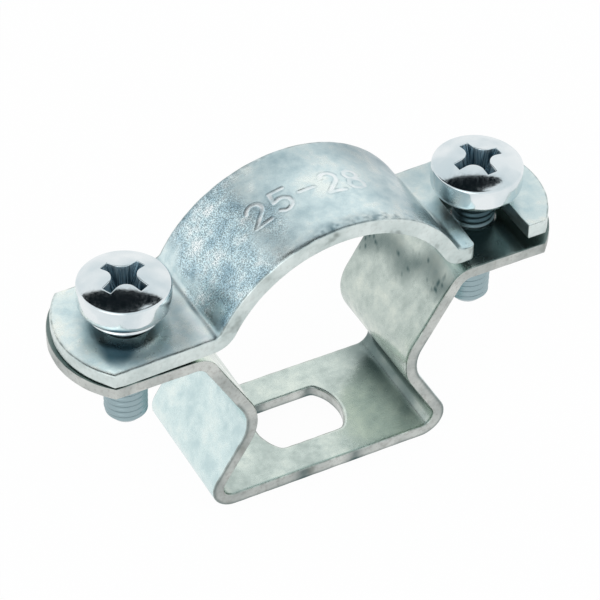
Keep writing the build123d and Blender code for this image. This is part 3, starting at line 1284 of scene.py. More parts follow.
@dataclass
class Strap(SubAssembly):
    """The strap: the ear with a round hole, the arch, and the ear with the open slot."""

    name: str = "strap_sheet"
    body: Body = Body.STRAP
    node: str = "upper_strap"
    slot: Slot = Slot.STRAP
    sizes: StrapSizes = StrapSizes()
    edge: ShearedEdge = ShearedEdge(roll_in=0.7, roll_drop=0.26, burr=0.12, wobble=0.05)
    step: float = 0.3

    # Scales of the roll and of the burr's round for each stretch of the outline, in its order.
    SCALES = {"front": (1.0, 0.6), "left_tine": (0.4, 1.0), "slot": (0.25, 1.0),
              "right_tine": (0.3, 1.0), "right_ear": (0.6, 1.0), "rear": (1.0, 1.0),
              "left_ear_rear": (0.9, 2.0), "left_ear_tip": (0.9, 4.6), "left_ear_front": (0.9, 0.3)}
    HOLE_ROLL = 0.4
    SLOT_END_POINTS = 60
    NOSE_POINTS = 9
    NOSE_TURN = 80

    def build(self) -> bpy.types.Object:
        """Lays out the blank and bends it.

        Returns:
            The strap's mesh object.
        """
        s = self.sizes
        strip = UpperStrap(self.name, s.path(), s.width, s.sheet, self.edge, self.step, sizes=s)
        stations = strip.path.stations()
        half = s.width / 2
        hole_s = stations[0] + s.round_tip
        screw_s = stations[-1] - s.round_tip
        left_in = stations[1] - s.ear_margin
        right_in = stations[-2]
        along = self.along_places(strip, left_in)
        front = np.stack([along, np.full_like(along, -half)], axis=1)
        rear = np.stack([along[::-1], np.full_like(along, half)], axis=1)
        square = screw_s + s.square
        ear = joined(arc_through((square, -half), stations[-1], (square, half), strip.step),
                     straight((square, half), (right_in, half), strip.step))
        slot = self.slot_wall(screw_s, len(ear) + len(strip.shares()) - 1)
        share = np.linspace(0, 1, s.tongue_rows)[:, None]
        left_tine = front[-1] * (1 - share) + slot[0] * share
        right_tine = slot[-1] * (1 - share) + ear[0] * share
        left_square = hole_s - s.square
        left = [straight((left_in, half), (left_square, half), strip.step),
                arc_through((left_square, half), stations[0], (left_square, -half), strip.step),
                straight((left_square, -half), (left_in, -half), strip.step)]
        pieces = [front, left_tine, slot, right_tine, ear, rear] + left
        insets = strip.add_outline(pieces, Seed.STRAP_RIM, list(self.SCALES.values()))
        front, left_tine, slot, right_tine, ear, rear = insets[:6]
        left = joined(*insets[6:])
        whole = strip.ruled(front, rear[::-1])
        strip.add_face(whole)
        outer = joined(whole[:, -1], ear[::-1])
        share = share[:, :, None]
        flat = outer[None] * (1 - share) + slot[None] * share
        flat[:, 0] = left_tine
        flat[:, -1] = right_tine[::-1]
        strip.add_face(flat[::-1])
        outer = joined(left, whole[:, 0])[:-1]
        strip.add_hole(outer, hole_facing(outer, hole_s, s.hole), Seed.STRAP_HOLE, self.HOLE_ROLL)
        return strip.finish()

    def along_places(self, strip: UpperStrap, left_in: float) -> Array:
        """Finds places along the arch, close together in its bends and where the numerals are.

        Args:
            strip: The strap's strip.
            left_in: Where the left ear's own grid ends.

        Returns:
            Rising lengths along the strip.
        """
        _, bend_in, arch_in, arch_out, bend_out, _ = strip.path.stations()
        low, high = strip.stamp.SPAN
        return joined_values([spaced(left_in, bend_in, strip.step),
                              spaced(bend_in, arch_in, strip.step / 2),
                              spaced(arch_in, low, strip.step), spaced(low, high, strip.stamp.FINE),
                              spaced(high, arch_out, strip.step),
                              spaced(arch_out, bend_out, strip.step / 2)])

    def slot_wall(self, screw_s: float, count: int) -> Array:
        """Evenly spaced points along the slot's wall: down one side, round its end and back.

        Args:
            screw_s: The right screw's axis along the blank.
            count: How many points.

        Returns:
            Points from the front left corner to the front right one.
        """
        s = self.sizes
        radius = (s.slot_left + s.slot_right) / 2
        middle = screw_s + (s.slot_right - s.slot_left) / 2
        half = s.width / 2
        angle = np.linspace(math.pi, 0, self.SLOT_END_POINTS)
        end = np.stack([middle + radius * np.cos(angle), s.slot_end + radius * np.sin(angle)], axis=1)
        nose = np.radians(np.linspace(0, self.NOSE_TURN, self.NOSE_POINTS))[:, None]
        left = middle - radius - s.slot_flare
        eased = np.hstack([left - s.tine_nose * (1 - np.sin(nose)),
                           -half + s.tine_nose * (1 - np.cos(nose))])
        path = np.vstack([eased, end, [(middle + radius, -half)]])
        run = np.concatenate([[0], np.cumsum(np.linalg.norm(np.diff(path, axis=0), axis=1))])
        even = np.linspace(0, run[-1], count)
        return np.stack([np.interp(even, run, path[:, 0]), np.interp(even, run, path[:, 1])], axis=1)


@dataclass(frozen=True)
class ScrewSizes:
    """An M5 screw with a domed, rounded cheese head and a driver's cross.

    Heights are from the head's bearing face. The thread is cut deepest under the head. The collar
    is a lip under the head, as shows on the left, and one of no height is left out.
    """

    thread_radius: float = 2.475
    thread_top: float = 0.2
    thread_end: float = 0.14
    thread_change: Rise = Rise(4.0, 8.0)
    thread_flank: Rise = Rise(0.1, 0.92)
    pitch: float = 0.8
    length: float = 16.2
    plain: float = 0.9
    run_out: float = 0.5
    point_length: float = 0.9
    point_radius: float = 1.75
    head_radius: float = 5.225
    head_side: float = 3.3
    head_dome: float = 1.0
    head_rim: float = 0.3
    head_foot: float = 1.0
    rim_slope: float = 24.0
    collar: float = 0.0
    collar_radius: float = 4.15
    recess_span: float = 5.7
    recess_arm: float = 1.1
    recess_lobe: float = 1.45
    recess_depth: float = 2.9
    recess_lip: float = 0.1
    recess_sink: float = 0.1
    recess_hub: float = 0.35
    arm_least: float = 0.02


@dataclass
class Screw(SubAssembly):
    """One screw: dome with its cross recess, head, and a shank with a helical thread.

    Its axis stands at x, its head's bearing face at the bearing's height, and the first arm of
    its recess is turned from the X axis by so many degrees.
    """

    slot: Slot = Slot.SCREW
    x: float = 0.0
    bearing: float = 0.0
    turn: float = 0.0
    sizes: ScrewSizes = ScrewSizes()
    net: Net = field(default_factory=Net)

    # Share of the lip's width, and how far below the dome, for each ring round the recess's mouth.
    LIP_RINGS = ((1.0, 0.0), (0.45, 0.02), (0.12, 0.06))
    LOBE_POINTS = 15
    ARM_POINTS = 7
    ARM_SIDE_POINTS = 6
    RECESS_RINGS = 9
    DOME_RINGS = 26
    HEAD_RINGS = 8
    FOOT_RINGS = 9
    UNDER_RINGS = 6
    THREAD_STEPS = 12
    # How much the recess's span, arms and lobes lose down to its floor.
    SPAN_LOSS = 0.52
    SPAN_POWER = 1.15
    ARM_LOSS = 0.18
    LOBE_LOSS = 0.78
    # Rings for the recess's dark finish to come in fully, and how late it starts.
    DARK_RINGS = 3
    DARK_START = 0.4
    # The collar's section: what is added to its radius, and shares of its height.
    COLLAR_OUT = (0, -0.05, 0, 0.08, 0.12, 0.08, 0)
    COLLAR_DOWN = (0, 0.4, 0.72, 0.78, 0.88, 0.97, 1.0)
    # Heights at which the thread's painted shade comes in, in the dark of the strap's slot.
    SHADED_THREAD = Rise(-5.0, -3.5, 0.9)

    def placed(self, points: Array) -> Array:
        """Moves points from the screw's own axis to its place."""
        return points + np.array([self.x, 0.0, self.bearing])

    def dome_height(self, radius: Array) -> Array:
        """Finds the dome's height: a ball through the rim, whose top is the dome's height above it.

        Args:
            radius: Distances from the axis.

        Returns:
            The height at each distance.
        """
        s = self.sizes
        rim = s.head_radius - s.head_rim
        ball = (rim ** 2 + s.head_dome ** 2) / (2 * s.head_dome)
        return s.head_side + s.head_dome - ball + np.sqrt(ball ** 2 - radius ** 2)

    def cross_outline(self, half_span: float, half_arm: float, lobe: float) -> Array:
        """Closed outline of a cross: blunt arm ends, straight sides and round lobes between arms.

        Args:
            half_span: From the axis to an arm's end.
            half_arm: Half an arm's width.
            lobe: Radius of the metal's rounded corner between two arms.

        Returns:
            Points by two, anticlockwise, a whole number of points in each quarter.
        """
        centre = min(half_arm + lobe, half_span - self.sizes.arm_least)
        lobe = centre - half_arm
        angle = np.radians(np.linspace(270, 180, self.LOBE_POINTS))
        corner = centre + lobe * np.stack([np.cos(angle), np.sin(angle)], axis=1)
        end = np.linspace(-half_arm, half_arm, self.ARM_POINTS)[:-1]
        arm_end = np.stack([np.full_like(end, half_span), end], axis=1)
        share = np.linspace(0, 1, self.ARM_SIDE_POINTS)[:-1, None]
        side = np.array([half_span, half_arm]) * (1 - share) + corner[0] * share
        back = side[:0:-1, ::-1]
        quarter = np.vstack([arm_end, side, corner, back])
        turns = [np.array([[math.cos(a), math.sin(a)], [-math.sin(a), math.cos(a)]])
                 for a in np.radians([0, 90, 180, 270])]
        return np.vstack([quarter @ turn for turn in turns])

    def recess_rows(self) -> list[tuple[float, float, float, float]]:
        """Finds the cross at each depth of the recess. All its sizes shrink with the depth's share.

        Returns:
            Half span, half arm, lobe and depth of each ring, from the mouth down.
        """
        s = self.sizes
        rows = []
        for share in np.linspace(0, 1, self.RECESS_RINGS):
            half_span = s.recess_span / 2 * (1 - self.SPAN_LOSS * share ** self.SPAN_POWER)
            half_arm = s.recess_arm / 2 * (1 - self.ARM_LOSS * share)
            lobe = s.recess_lobe * (1 - self.LOBE_LOSS * share)
            rows.append((half_span, half_arm, lobe, s.recess_depth * share))
        return rows

    def build(self) -> bpy.types.Object:
        """Builds the head, the recess and the shank.

        Returns:
            The screw's mesh object.
        """
        angle = self._recess_and_dome()
        self._head_side(angle)
        self._shank(angle)
        return self.net.to_object(self.name)

    def _ring(self, radius: Array, height: Array, angle: Array) -> Array:
        """Points of rings about the axis: one row for each radius and height."""
        return np.stack([radius[:, None] * np.cos(angle), radius[:, None] * np.sin(angle),
                         np.broadcast_to(height[:, None], (len(height), len(angle)))], axis=-1)

    def _recess_and_dome(self) -> Array:
        """The dome is a grid from the recess's mouth out to the rim, the recess a loft of crosses.

        Returns:
            The angle of each point of the rim, which the head's side and the shank share.
        """
        s = self.sizes
        turn = math.radians(self.turn)
        rotate = np.array([[math.cos(turn), math.sin(turn)], [-math.sin(turn), math.cos(turn)]])
        rings = []
        for share, sink in self.LIP_RINGS:
            grow = s.recess_lip * share
            ring = self.cross_outline(s.recess_span / 2 + grow, s.recess_arm / 2 + grow, s.recess_lobe)
            top = self.dome_height(np.linalg.norm(ring, axis=1)) - sink
            rings.append(np.column_stack([ring @ rotate, top]))
        mouth = rings[0][:, :2]
        rim = s.head_radius - s.head_rim
        angle = np.unwrap(np.arctan2(mouth[:, 1], mouth[:, 0]))
        share = np.linspace(0, 1, self.DOME_RINGS)[:, None]
        radius = np.linalg.norm(mouth, axis=1)[None] * (1 - share) + rim * share
        dome = np.stack([radius * np.cos(angle), radius * np.sin(angle), self.dome_height(radius)],
                        axis=-1)
        self._add(dome[::-1], {})
        base = self.dome_height(np.array([s.recess_span / 2]))[0]
        for half_span, half_arm, lobe, depth in self.recess_rows():
            ring = self.cross_outline(half_span, half_arm, lobe)
            top = self.dome_height(np.linalg.norm(ring, axis=1))
            share_down = depth / s.recess_depth
            height = top * (1 - share_down) + base * share_down - s.recess_sink - depth
            rings.append(np.column_stack([ring @ rotate, height]))
        inside = np.clip(np.arange(len(rings)) / self.DARK_RINGS - self.DARK_START, 0, 1)[:, None]
        self._add(np.array(rings), {"edge": inside})
        floor = rings[-1]
        hub = np.array([0.0, 0.0, floor[:, 2].min() - s.recess_hub])
        self.net.add_fan(self.placed(floor), self.placed(hub), {"edge": 1.0})
        return angle

    def _add(self, points: Array, marks: dict[str, Array | float]) -> None:
        """Adds a closed grid whose pattern follows the angle and the radius.

        Args:
            points: Rows by columns by three, from the screw's own axis.
            marks: The marks that aren't zero, by name.
        """
        angle = np.arctan2(points[..., 1], points[..., 0])
        flat = np.linalg.norm(points[..., :2], axis=-1)
        pattern = np.stack([angle * self.sizes.head_radius, flat + points[..., 2]], axis=-1)
        self.net.add_grid(self.placed(points), pattern, marks, closed=True)

    def _head_side(self, angle: Array) -> None:
        """The rounded shoulder, the side, the rounded foot, the collar and the bearing face, turned.

        The shoulder is the part of a circle from the dome's slope round to the side, and the foot
        a quarter circle.

        Args:
            angle: The angle of each point of the rim.
        """
        s = self.sizes
        rim = s.head_radius - s.head_rim
        turn = np.radians(np.linspace(90 - s.rim_slope, 0, self.HEAD_RINGS))
        scale = 1 / math.sin(math.radians(90 - s.rim_slope))
        shoulder_r = rim + s.head_rim * (np.cos(turn) - math.cos(turn[0])) / (1 - math.cos(turn[0]))
        shoulder_z = s.head_side - s.head_rim * (1 - np.sin(turn) * scale)
        side_z = np.linspace(s.head_side - s.head_rim, s.head_foot, self.HEAD_RINGS)[1:]
        low = np.radians(np.linspace(0, 90, self.FOOT_RINGS))[1:]
        foot_r = s.head_radius - s.head_foot * (1 - np.cos(low))
        foot_z = s.head_foot * (1 - np.sin(low))
        if s.collar:
            foot_r = np.append(foot_r, s.collar_radius + np.array(self.COLLAR_OUT))
            foot_z = np.append(foot_z, -s.collar * np.array(self.COLLAR_DOWN))
        under_r = np.linspace(foot_r[-1], s.thread_radius, self.UNDER_RINGS)[1:]
        radius = np.concatenate([shoulder_r, 0 * side_z + s.head_radius, foot_r, under_r])
        height = np.concatenate([shoulder_z, side_z, foot_z, 0 * under_r - s.collar])
        self._add(self._ring(radius, height, angle)[::-1], {})

    def _shank(self, angle: Array) -> None:
        """The thread: its radius swings with height less turn, and shrinks at both ends.

        The thread under a plain head is in the dark of the strap's slot, so it carries painted
        shade. One under a collar isn't seen there.

        Args:
            angle: The angle of each point of the rim.
        """
        s = self.sizes
        step = s.pitch / self.THREAD_STEPS
        height = np.concatenate([spaced(-s.collar, -s.length + s.point_length, step),
                                 spaced(-s.length + s.point_length, -s.length, step)[1:]])
        grid = np.broadcast_to(height[:, None], (len(height), len(angle)))
        phase = (grid / s.pitch - angle[None] / (2 * math.pi)) % 1.0
        tooth = s.thread_flank.at(np.abs(2 * phase - 1))
        depth = s.thread_top + (s.thread_end - s.thread_top) * s.thread_change.at(-grid)
        run_out = smooth_step(-grid, s.plain / 4, s.plain + s.run_out)
        radius = s.thread_radius - depth * (1 - tooth) * run_out
        left = s.length + grid
        cone = s.point_radius + (s.thread_radius - s.point_radius) * left / s.point_length
        radius = np.minimum(radius, np.maximum(cone, s.point_radius))
        radius[0] = s.thread_radius
        points = np.stack([radius * np.cos(angle), radius * np.sin(angle), grid], axis=-1)
        dark = np.zeros_like(grid) if s.collar else self.SHADED_THREAD.at(grid)
        self._add(points[::-1], {"tone": 1.0, "film": dark[::-1]})
        hub = np.array([0.0, 0.0, -s.length])
        self.net.add_fan(self.placed(points[-1]), self.placed(hub), {"tone": 1.0}, flip=True)


class Nodes:
    """A node tree that starts empty, with one small method that adds a node and links it.

    A Mix of colours takes its share at input 0 and its two colours at 6 and 7, and gives them at
    output 2. A Math node's inputs are 0, 1 and 2.
    """

    def __init__(self, owner: bpy.types.Material | bpy.types.World) -> None:
        """Empties the owner's tree.

        Args:
            owner: The material or world whose nodes they are.
        """
        owner.use_nodes = True
        self.tree = owner.node_tree
        self.tree.nodes.clear()

    def add(self, kind: str, settings: dict[str, object] | None = None,
            inputs: dict[str | int, object] | None = None) -> bpy.types.Node:
        """Adds a node, sets its properties and sockets, and links what comes from other nodes.

        Args:
            kind: The node's type, without ShaderNode.
            settings: Properties of the node, or a ramp's stops as positions and hex colours.
            inputs: Values, or output sockets to link, by the input's name or number.

        Returns:
            The node.
        """
        node = self.tree.nodes.new("ShaderNode" + kind)
        for key, value in (settings or {}).items():
            if key != "stops":
                setattr(node, key, value)
                continue
            elements = node.color_ramp.elements
            while len(elements) < len(value):
                elements.new(0.5)
            for element, (position, code) in zip(elements, value):
                element.position = position
                element.color = linear_colour(code)
        for key, value in (inputs or {}).items():
            if isinstance(value, Socket):
                self.tree.links.new(value, node.inputs[key])
            else:
                node.inputs[key].default_value = value
        return node


@dataclass(frozen=True)
class Plate:
    """Three shades of one tone of zinc plate, as hex colours from dark to pale."""

    deep: str
    middle: str
    pale: str

    def stops(self) -> list[tuple[float, str]]:
        """The shades as a colour ramp's stops."""
        return [(0.36, self.deep), (0.5, self.middle), (0.64, self.pale)]


@dataclass(frozen=True)
class ZincSheet:
    """Bright zinc plate on cold rolled sheet: pale with a cyan cast, satin, softly mottled.

    Sheared edges are duller and warmer, with a dark line where they roll over. Grain is a mark
    that the eye sees as white and dark dots, as where the plate has a coarse crystal. Another
    mark darkens the plate towards dark teal, as soil and as painted shade and reflection where
    the sheets lie close, in bends and under the screws, and a third whitens it as a painted
    highlight.

    Zinc's crystals and the lines that rolling leaves are a few hundredths of a millimetre wide,
    and specks of dirt on an edge a tenth or two. Grain, lines and specks are drawn coarser, at
    0.14, 0.25 and 0.5 mm, so that they show in the picture, where a pixel is about 0.11 mm.

    The plain plate shows where a piece's tone is 0 and the marked one where it is 1.
    """

    name: str
    plain: Plate
    marked: Plate
    grainy: Plate
    grain_dots: float
    roll: str = "#8b9592"
    wall: str = "#c6d2d0"
    wall_pale: str = "#dbe5e3"
    # The painted highlight's colour, then the one dark colour of soil and painted shade.
    painted_highlight_white: str = "#f7fbfc"
    film: str = "#2c5868"
    roughness: float = 0.25
    mottle_mm: float = 4.2
    cloud_mm: float = 1.3
    grain_mm: float = 0.14
    speck_mm: float = 0.5
    specks: float = 0.12
    rust: str = "#857e78"
    rolling_mm: float = 0.25
    rolling_stretch: float = 0.04
    bump: float = 0.25
    bump_mm: float = 0.03
    cloud_share: float = 0.5
    plain_dots: float = 0.05
    painted_highlight_share: float = 0.85
    wall_rougher: float = 0.06
    grain_height: float = 0.6
    cloud_height: float = 2.0

    def build(self) -> bpy.types.Material:
        """Makes the material.

        Returns:
            The finished material.
        """
        material = bpy.data.materials.new(self.name)
        n = Nodes(material)
        place = n.add("TexCoord").outputs["Object"]
        noise = {}
        for key, size, detail in (("mottle", self.mottle_mm, 3.0), ("cloud", self.cloud_mm, 3.0),
                                  ("speck", self.speck_mm, 2.0), ("grain", self.grain_mm, 1.0)):
            noise[key] = n.add("TexNoise", None, {"Vector": place, "Scale": 1 / (size * MM),
                                                  "Detail": detail, "Roughness": 0.6}).outputs["Fac"]
        mark = {key: n.add("Attribute", {"attribute_name": key}).outputs["Fac"] for key in Net.MARKS}
        mottle = n.add("Math", {"operation": "MULTIPLY_ADD"},
                       {0: noise["cloud"], 1: self.cloud_share, 2: noise["mottle"]}).outputs[0]
        mottle = n.add("Math", {"operation": "DIVIDE"}, {0: mottle, 1: 1 + self.cloud_share}).outputs[0]
        face = self._face(n, mottle, noise, mark)
        colour, sheared = self._edges(n, face, noise, mark)
        rough = n.add("MapRange", None, {"Value": mottle, "From Min": 0.38, "From Max": 0.62,
                                         "To Min": self.roughness + 0.06,
                                         "To Max": self.roughness - 0.05}).outputs[0]
        rough = n.add("Math", {"operation": "MULTIPLY_ADD"},
                      {0: sheared, 1: self.wall_rougher, 2: rough}).outputs[0]
        normal = self._relief(n, noise)
        shader = n.add("BsdfPrincipled", None, {"Base Color": colour, "Metallic": 1.0,
                                                "Roughness": rough, "Normal": normal})
        n.add("OutputMaterial", None, {"Surface": shader.outputs["BSDF"]})
        return material

    def _face(self, n: Nodes, mottle: Socket, noise: dict[str, Socket],
              mark: dict[str, Socket]) -> Socket:
        """Adds the faces' colour: each tone's shades by the mottle, then grain and the painted highlight.

        Args:
            n: The material's nodes.
            mottle: The slow change from deep to pale.
            noise: The noises, by name.
            mark: The piece's marks, by name.

        Returns:
            The colour.
        """
        shade = {}
        for key, plate in (("plain", self.plain), ("marked", self.marked), ("grainy", self.grainy)):
            shade[key] = n.add("ValToRGB", {"stops": plate.stops()}, {"Fac": mottle}).outputs["Color"]
        face = n.add("Mix", {"data_type": "RGBA"},
                     {0: mark["tone"], 6: shade["plain"], 7: shade["marked"]}).outputs[2]
        face = n.add("Mix", {"data_type": "RGBA"}, {0: mark["grain"], 6: face, 7: shade["grainy"]})
        dots = n.add("MapRange", None, {"Value": noise["grain"], "From Min": 0.36, "From Max": 0.64,
                                        "To Min": 0.3, "To Max": 1.7}).outputs[0]
        dots = n.add("CombineColor", None, {"Red": dots, "Green": dots, "Blue": dots}).outputs[0]
        amount = n.add("Math", {"operation": "MULTIPLY_ADD"},
                       {0: mark["grain"], 1: self.grain_dots, 2: self.plain_dots}).outputs[0]
        face = n.add("Mix", {"data_type": "RGBA", "blend_type": "MULTIPLY"},
                     {0: amount, 6: face.outputs[2], 7: dots}).outputs[2]
        # Painted highlight on the numerals and in the strap's left bend.
        bright = n.add("Math", {"operation": "MULTIPLY"},
                       {0: mark["burnish"], 1: self.painted_highlight_share}).outputs[0]
        return n.add("Mix", {"data_type": "RGBA"},
                     {0: bright, 6: face, 7: linear_colour(self.painted_highlight_white)}).outputs[2]

    def _edges(self, n: Nodes, face: Socket, noise: dict[str, Socket],
               mark: dict[str, Socket]) -> tuple[Socket, Socket]:
        """Adds the rolled edge's broken dark line, the sheared wall, its specks, and the soil and painted
        shade.

        Args:
            n: The material's nodes.
            face: The faces' colour.
            noise: The noises, by name.
            mark: The piece's marks, by name.

        Returns:
            The whole piece's colour, and how far each place is on the sheared wall.
        """
        rolled = n.add("MapRange", None, {"Value": mark["edge"], "From Min": 0.0, "From Max": 0.3})
        sheared = n.add("MapRange", None, {"Value": mark["edge"], "From Min": 0.5, "From Max": 0.9})
        broken = n.add("MapRange", None, {"Value": noise["cloud"], "From Min": 0.36, "From Max": 0.62,
                                          "To Min": 0.85, "To Max": 0.1}).outputs[0]
        worn = n.add("Math", {"operation": "MULTIPLY"}, {0: rolled.outputs[0], 1: broken}).outputs[0]
        colour = n.add("Mix", {"data_type": "RGBA"}, {0: worn, 6: face, 7: linear_colour(self.roll)})
        stops = [(0.3, self.roll), (0.4, self.wall), (0.62, self.wall_pale)]
        wall = n.add("ValToRGB", {"stops": stops}, {"Fac": noise["mottle"]}).outputs["Color"]
        colour = n.add("Mix", {"data_type": "RGBA"},
                       {0: sheared.outputs[0], 6: colour.outputs[2], 7: wall}).outputs[2]
        speck = n.add("MapRange", None, {"Value": noise["speck"], "From Min": 0.5, "From Max": 0.64,
                                         "To Min": 0.0, "To Max": self.specks}).outputs[0]
        speck = n.add("Math", {"operation": "MULTIPLY"}, {0: rolled.outputs[0], 1: speck}).outputs[0]
        colour = n.add("Mix", {"data_type": "RGBA"},
                       {0: speck, 6: colour, 7: linear_colour(self.rust)}).outputs[2]
        # Soil and painted shade and reflection, as one dark teal colour.
        colour = n.add("Mix", {"data_type": "RGBA"},
                       {0: mark["film"], 6: colour, 7: linear_colour(self.film)}).outputs[2]
        return colour, sheared.outputs[0]

    def _relief(self, n: Nodes, noise: dict[str, Socket]) -> Socket:
        """Adds the normal: fine grain, lines that rolling left along the strip, and soft dimples.

        Args:
            n: The material's nodes.
            noise: The noises, by name.

        Returns:
            The normal.
        """
        lines = n.add("UVMap", {"uv_map": "pattern"}).outputs["UV"]
        lines = n.add("Mapping", None, {"Vector": lines,
                                        "Scale": (self.rolling_stretch, 1.0, 1.0)}).outputs[0]
        rolling = n.add("TexNoise", None, {"Vector": lines, "Scale": 1 / (self.rolling_mm * MM),
                                           "Detail": 1.0}).outputs["Fac"]
        height = n.add("Math", {"operation": "MULTIPLY_ADD"},
                       {0: noise["grain"], 1: self.grain_height, 2: rolling}).outputs[0]
        height = n.add("Math", {"operation": "MULTIPLY_ADD"},
                       {0: noise["cloud"], 1: self.cloud_height, 2: height}).outputs[0]
        return n.add("Bump", None, {"Strength": self.bump, "Distance": self.bump_mm * MM,
                                    "Height": height}).outputs["Normal"]


@dataclass(frozen=True)
class ZincScrew:
    """Bright zinc plate on a cold headed screw: mirror smooth, with faint handling marks.

    Inside the driver's cross the plate is thin, dark and streaked by the punch, and on the thread
    it is greyer. Handling marks are about a tenth of a millimetre wide. They and the punch's
    streaks are drawn coarser, at 0.35 mm, so that they show.
    """

    name: str = "bright_zinc_plated_cold_headed_steel"
    pale: str = "#e6ecee"
    cast: str = "#d2dde1"
    thread: str = "#98acb1"
    shaded: str = "#2f474f"
    inside: str = "#41606f"
    streak: str = "#a9c6d3"
    roughness: float = 0.1
    cloud_mm: float = 4.0
    mark_mm: float = 0.35
    streak_stretch: float = 0.08
    thread_rougher: float = 0.22
    inside_less_metal: float = -0.4
    bump: float = 0.06
    bump_mm: float = 0.03

    def build(self) -> bpy.types.Material:
        """Makes the material.

        Returns:
            The finished material.
        """
        material = bpy.data.materials.new(self.name)
        n = Nodes(material)
        place = n.add("TexCoord").outputs["Object"]
        cloud = n.add("TexNoise", None, {"Vector": place, "Scale": 1 / (self.cloud_mm * MM),
                                         "Detail": 2.0}).outputs["Fac"]
        stops = [(0.4, self.cast), (0.62, self.pale)]
        face = n.add("ValToRGB", {"stops": stops}, {"Fac": cloud}).outputs["Color"]
        inside, shank, dark = (n.add("Attribute", {"attribute_name": key}).outputs["Fac"]
                               for key in ("edge", "tone", "film"))
        # Painted shade on the thread in the dark of the strap's slot.
        thread = n.add("Mix", {"data_type": "RGBA"}, {0: dark, 6: linear_colour(self.thread),
                                                      7: linear_colour(self.shaded)}).outputs[2]
        colour = n.add("Mix", {"data_type": "RGBA"}, {0: shank, 6: face, 7: thread})
        lines = n.add("UVMap", {"uv_map": "pattern"}).outputs["UV"]
        lines = n.add("Mapping", None, {"Vector": lines,
                                        "Scale": (1.0, self.streak_stretch, 1.0)}).outputs[0]
        lines = n.add("TexNoise", None, {"Vector": lines, "Scale": 1 / (self.mark_mm * MM),
                                         "Detail": 1.0}).outputs["Fac"]
        stops = [(0.42, self.inside), (0.62, self.streak)]
        cross = n.add("ValToRGB", {"stops": stops}, {"Fac": lines}).outputs["Color"]
        colour = n.add("Mix", {"data_type": "RGBA"},
                       {0: inside, 6: colour.outputs[2], 7: cross}).outputs[2]
        marks = n.add("TexNoise", None, {"Vector": place, "Scale": 1 / (self.mark_mm * MM),
                                         "Detail": 2.0, "Roughness": 0.7}).outputs["Fac"]
        rough = n.add("MapRange", None, {"Value": marks, "From Min": 0.35, "From Max": 0.7,
                                         "To Min": self.roughness - 0.03,
                                         "To Max": self.roughness + 0.06}).outputs[0]
        rough = n.add("Math", {"operation": "MULTIPLY_ADD"},
                      {0: shank, 1: self.thread_rougher, 2: rough}).outputs[0]
        metal = n.add("Math", {"operation": "MULTIPLY_ADD"},
                      {0: inside, 1: self.inside_less_metal, 2: 1.0}).outputs[0]
        normal = n.add("Bump", None, {"Strength": self.bump, "Distance": self.bump_mm * MM,
                                      "Height": marks}).outputs["Normal"]
        shader = n.add("BsdfPrincipled", None, {"Base Color": colour, "Metallic": metal,
                                                "Roughness": rough, "Normal": normal})
        n.add("OutputMaterial", None, {"Surface": shader.outputs["BSDF"]})
        return material


@dataclass(frozen=True)
class Camera:
    """The view of the photograph: place in millimetres, angles in degrees, lens in millimetres.

    The azimuth turns about Z, the elevation is how far it looks down, and the roll is about its
    own axis.
    """

    place: tuple[float, float, float] = (-125.14, -221.21, 251.89)
    azimuth: float = -29.449
    elevation: float = 42.395
    roll: float = 2.109
    lens: float = 183.68
    sensor: float = 36.0
    clip: tuple[float, float] = (0.01, 20.0)

    def build(self) -> None:
        """Makes the camera and gives it to the scene."""
        data = bpy.data.cameras.new("camera")
        data.lens = self.lens
        data.sensor_width = self.sensor
        data.clip_start, data.clip_end = self.clip
        view = bpy.data.objects.new("camera", data)
        turn = (Matrix.Rotation(math.radians(self.azimuth), 4, "Z")
                @ Matrix.Rotation(math.radians(90 - self.elevation), 4, "X")
                @ Matrix.Rotation(math.radians(self.roll), 4, "Z"))
        view.matrix_world = Matrix.Translation([v * MM for v in self.place]) @ turn
        bpy.context.scene.collection.objects.link(view)
        bpy.context.scene.camera = view


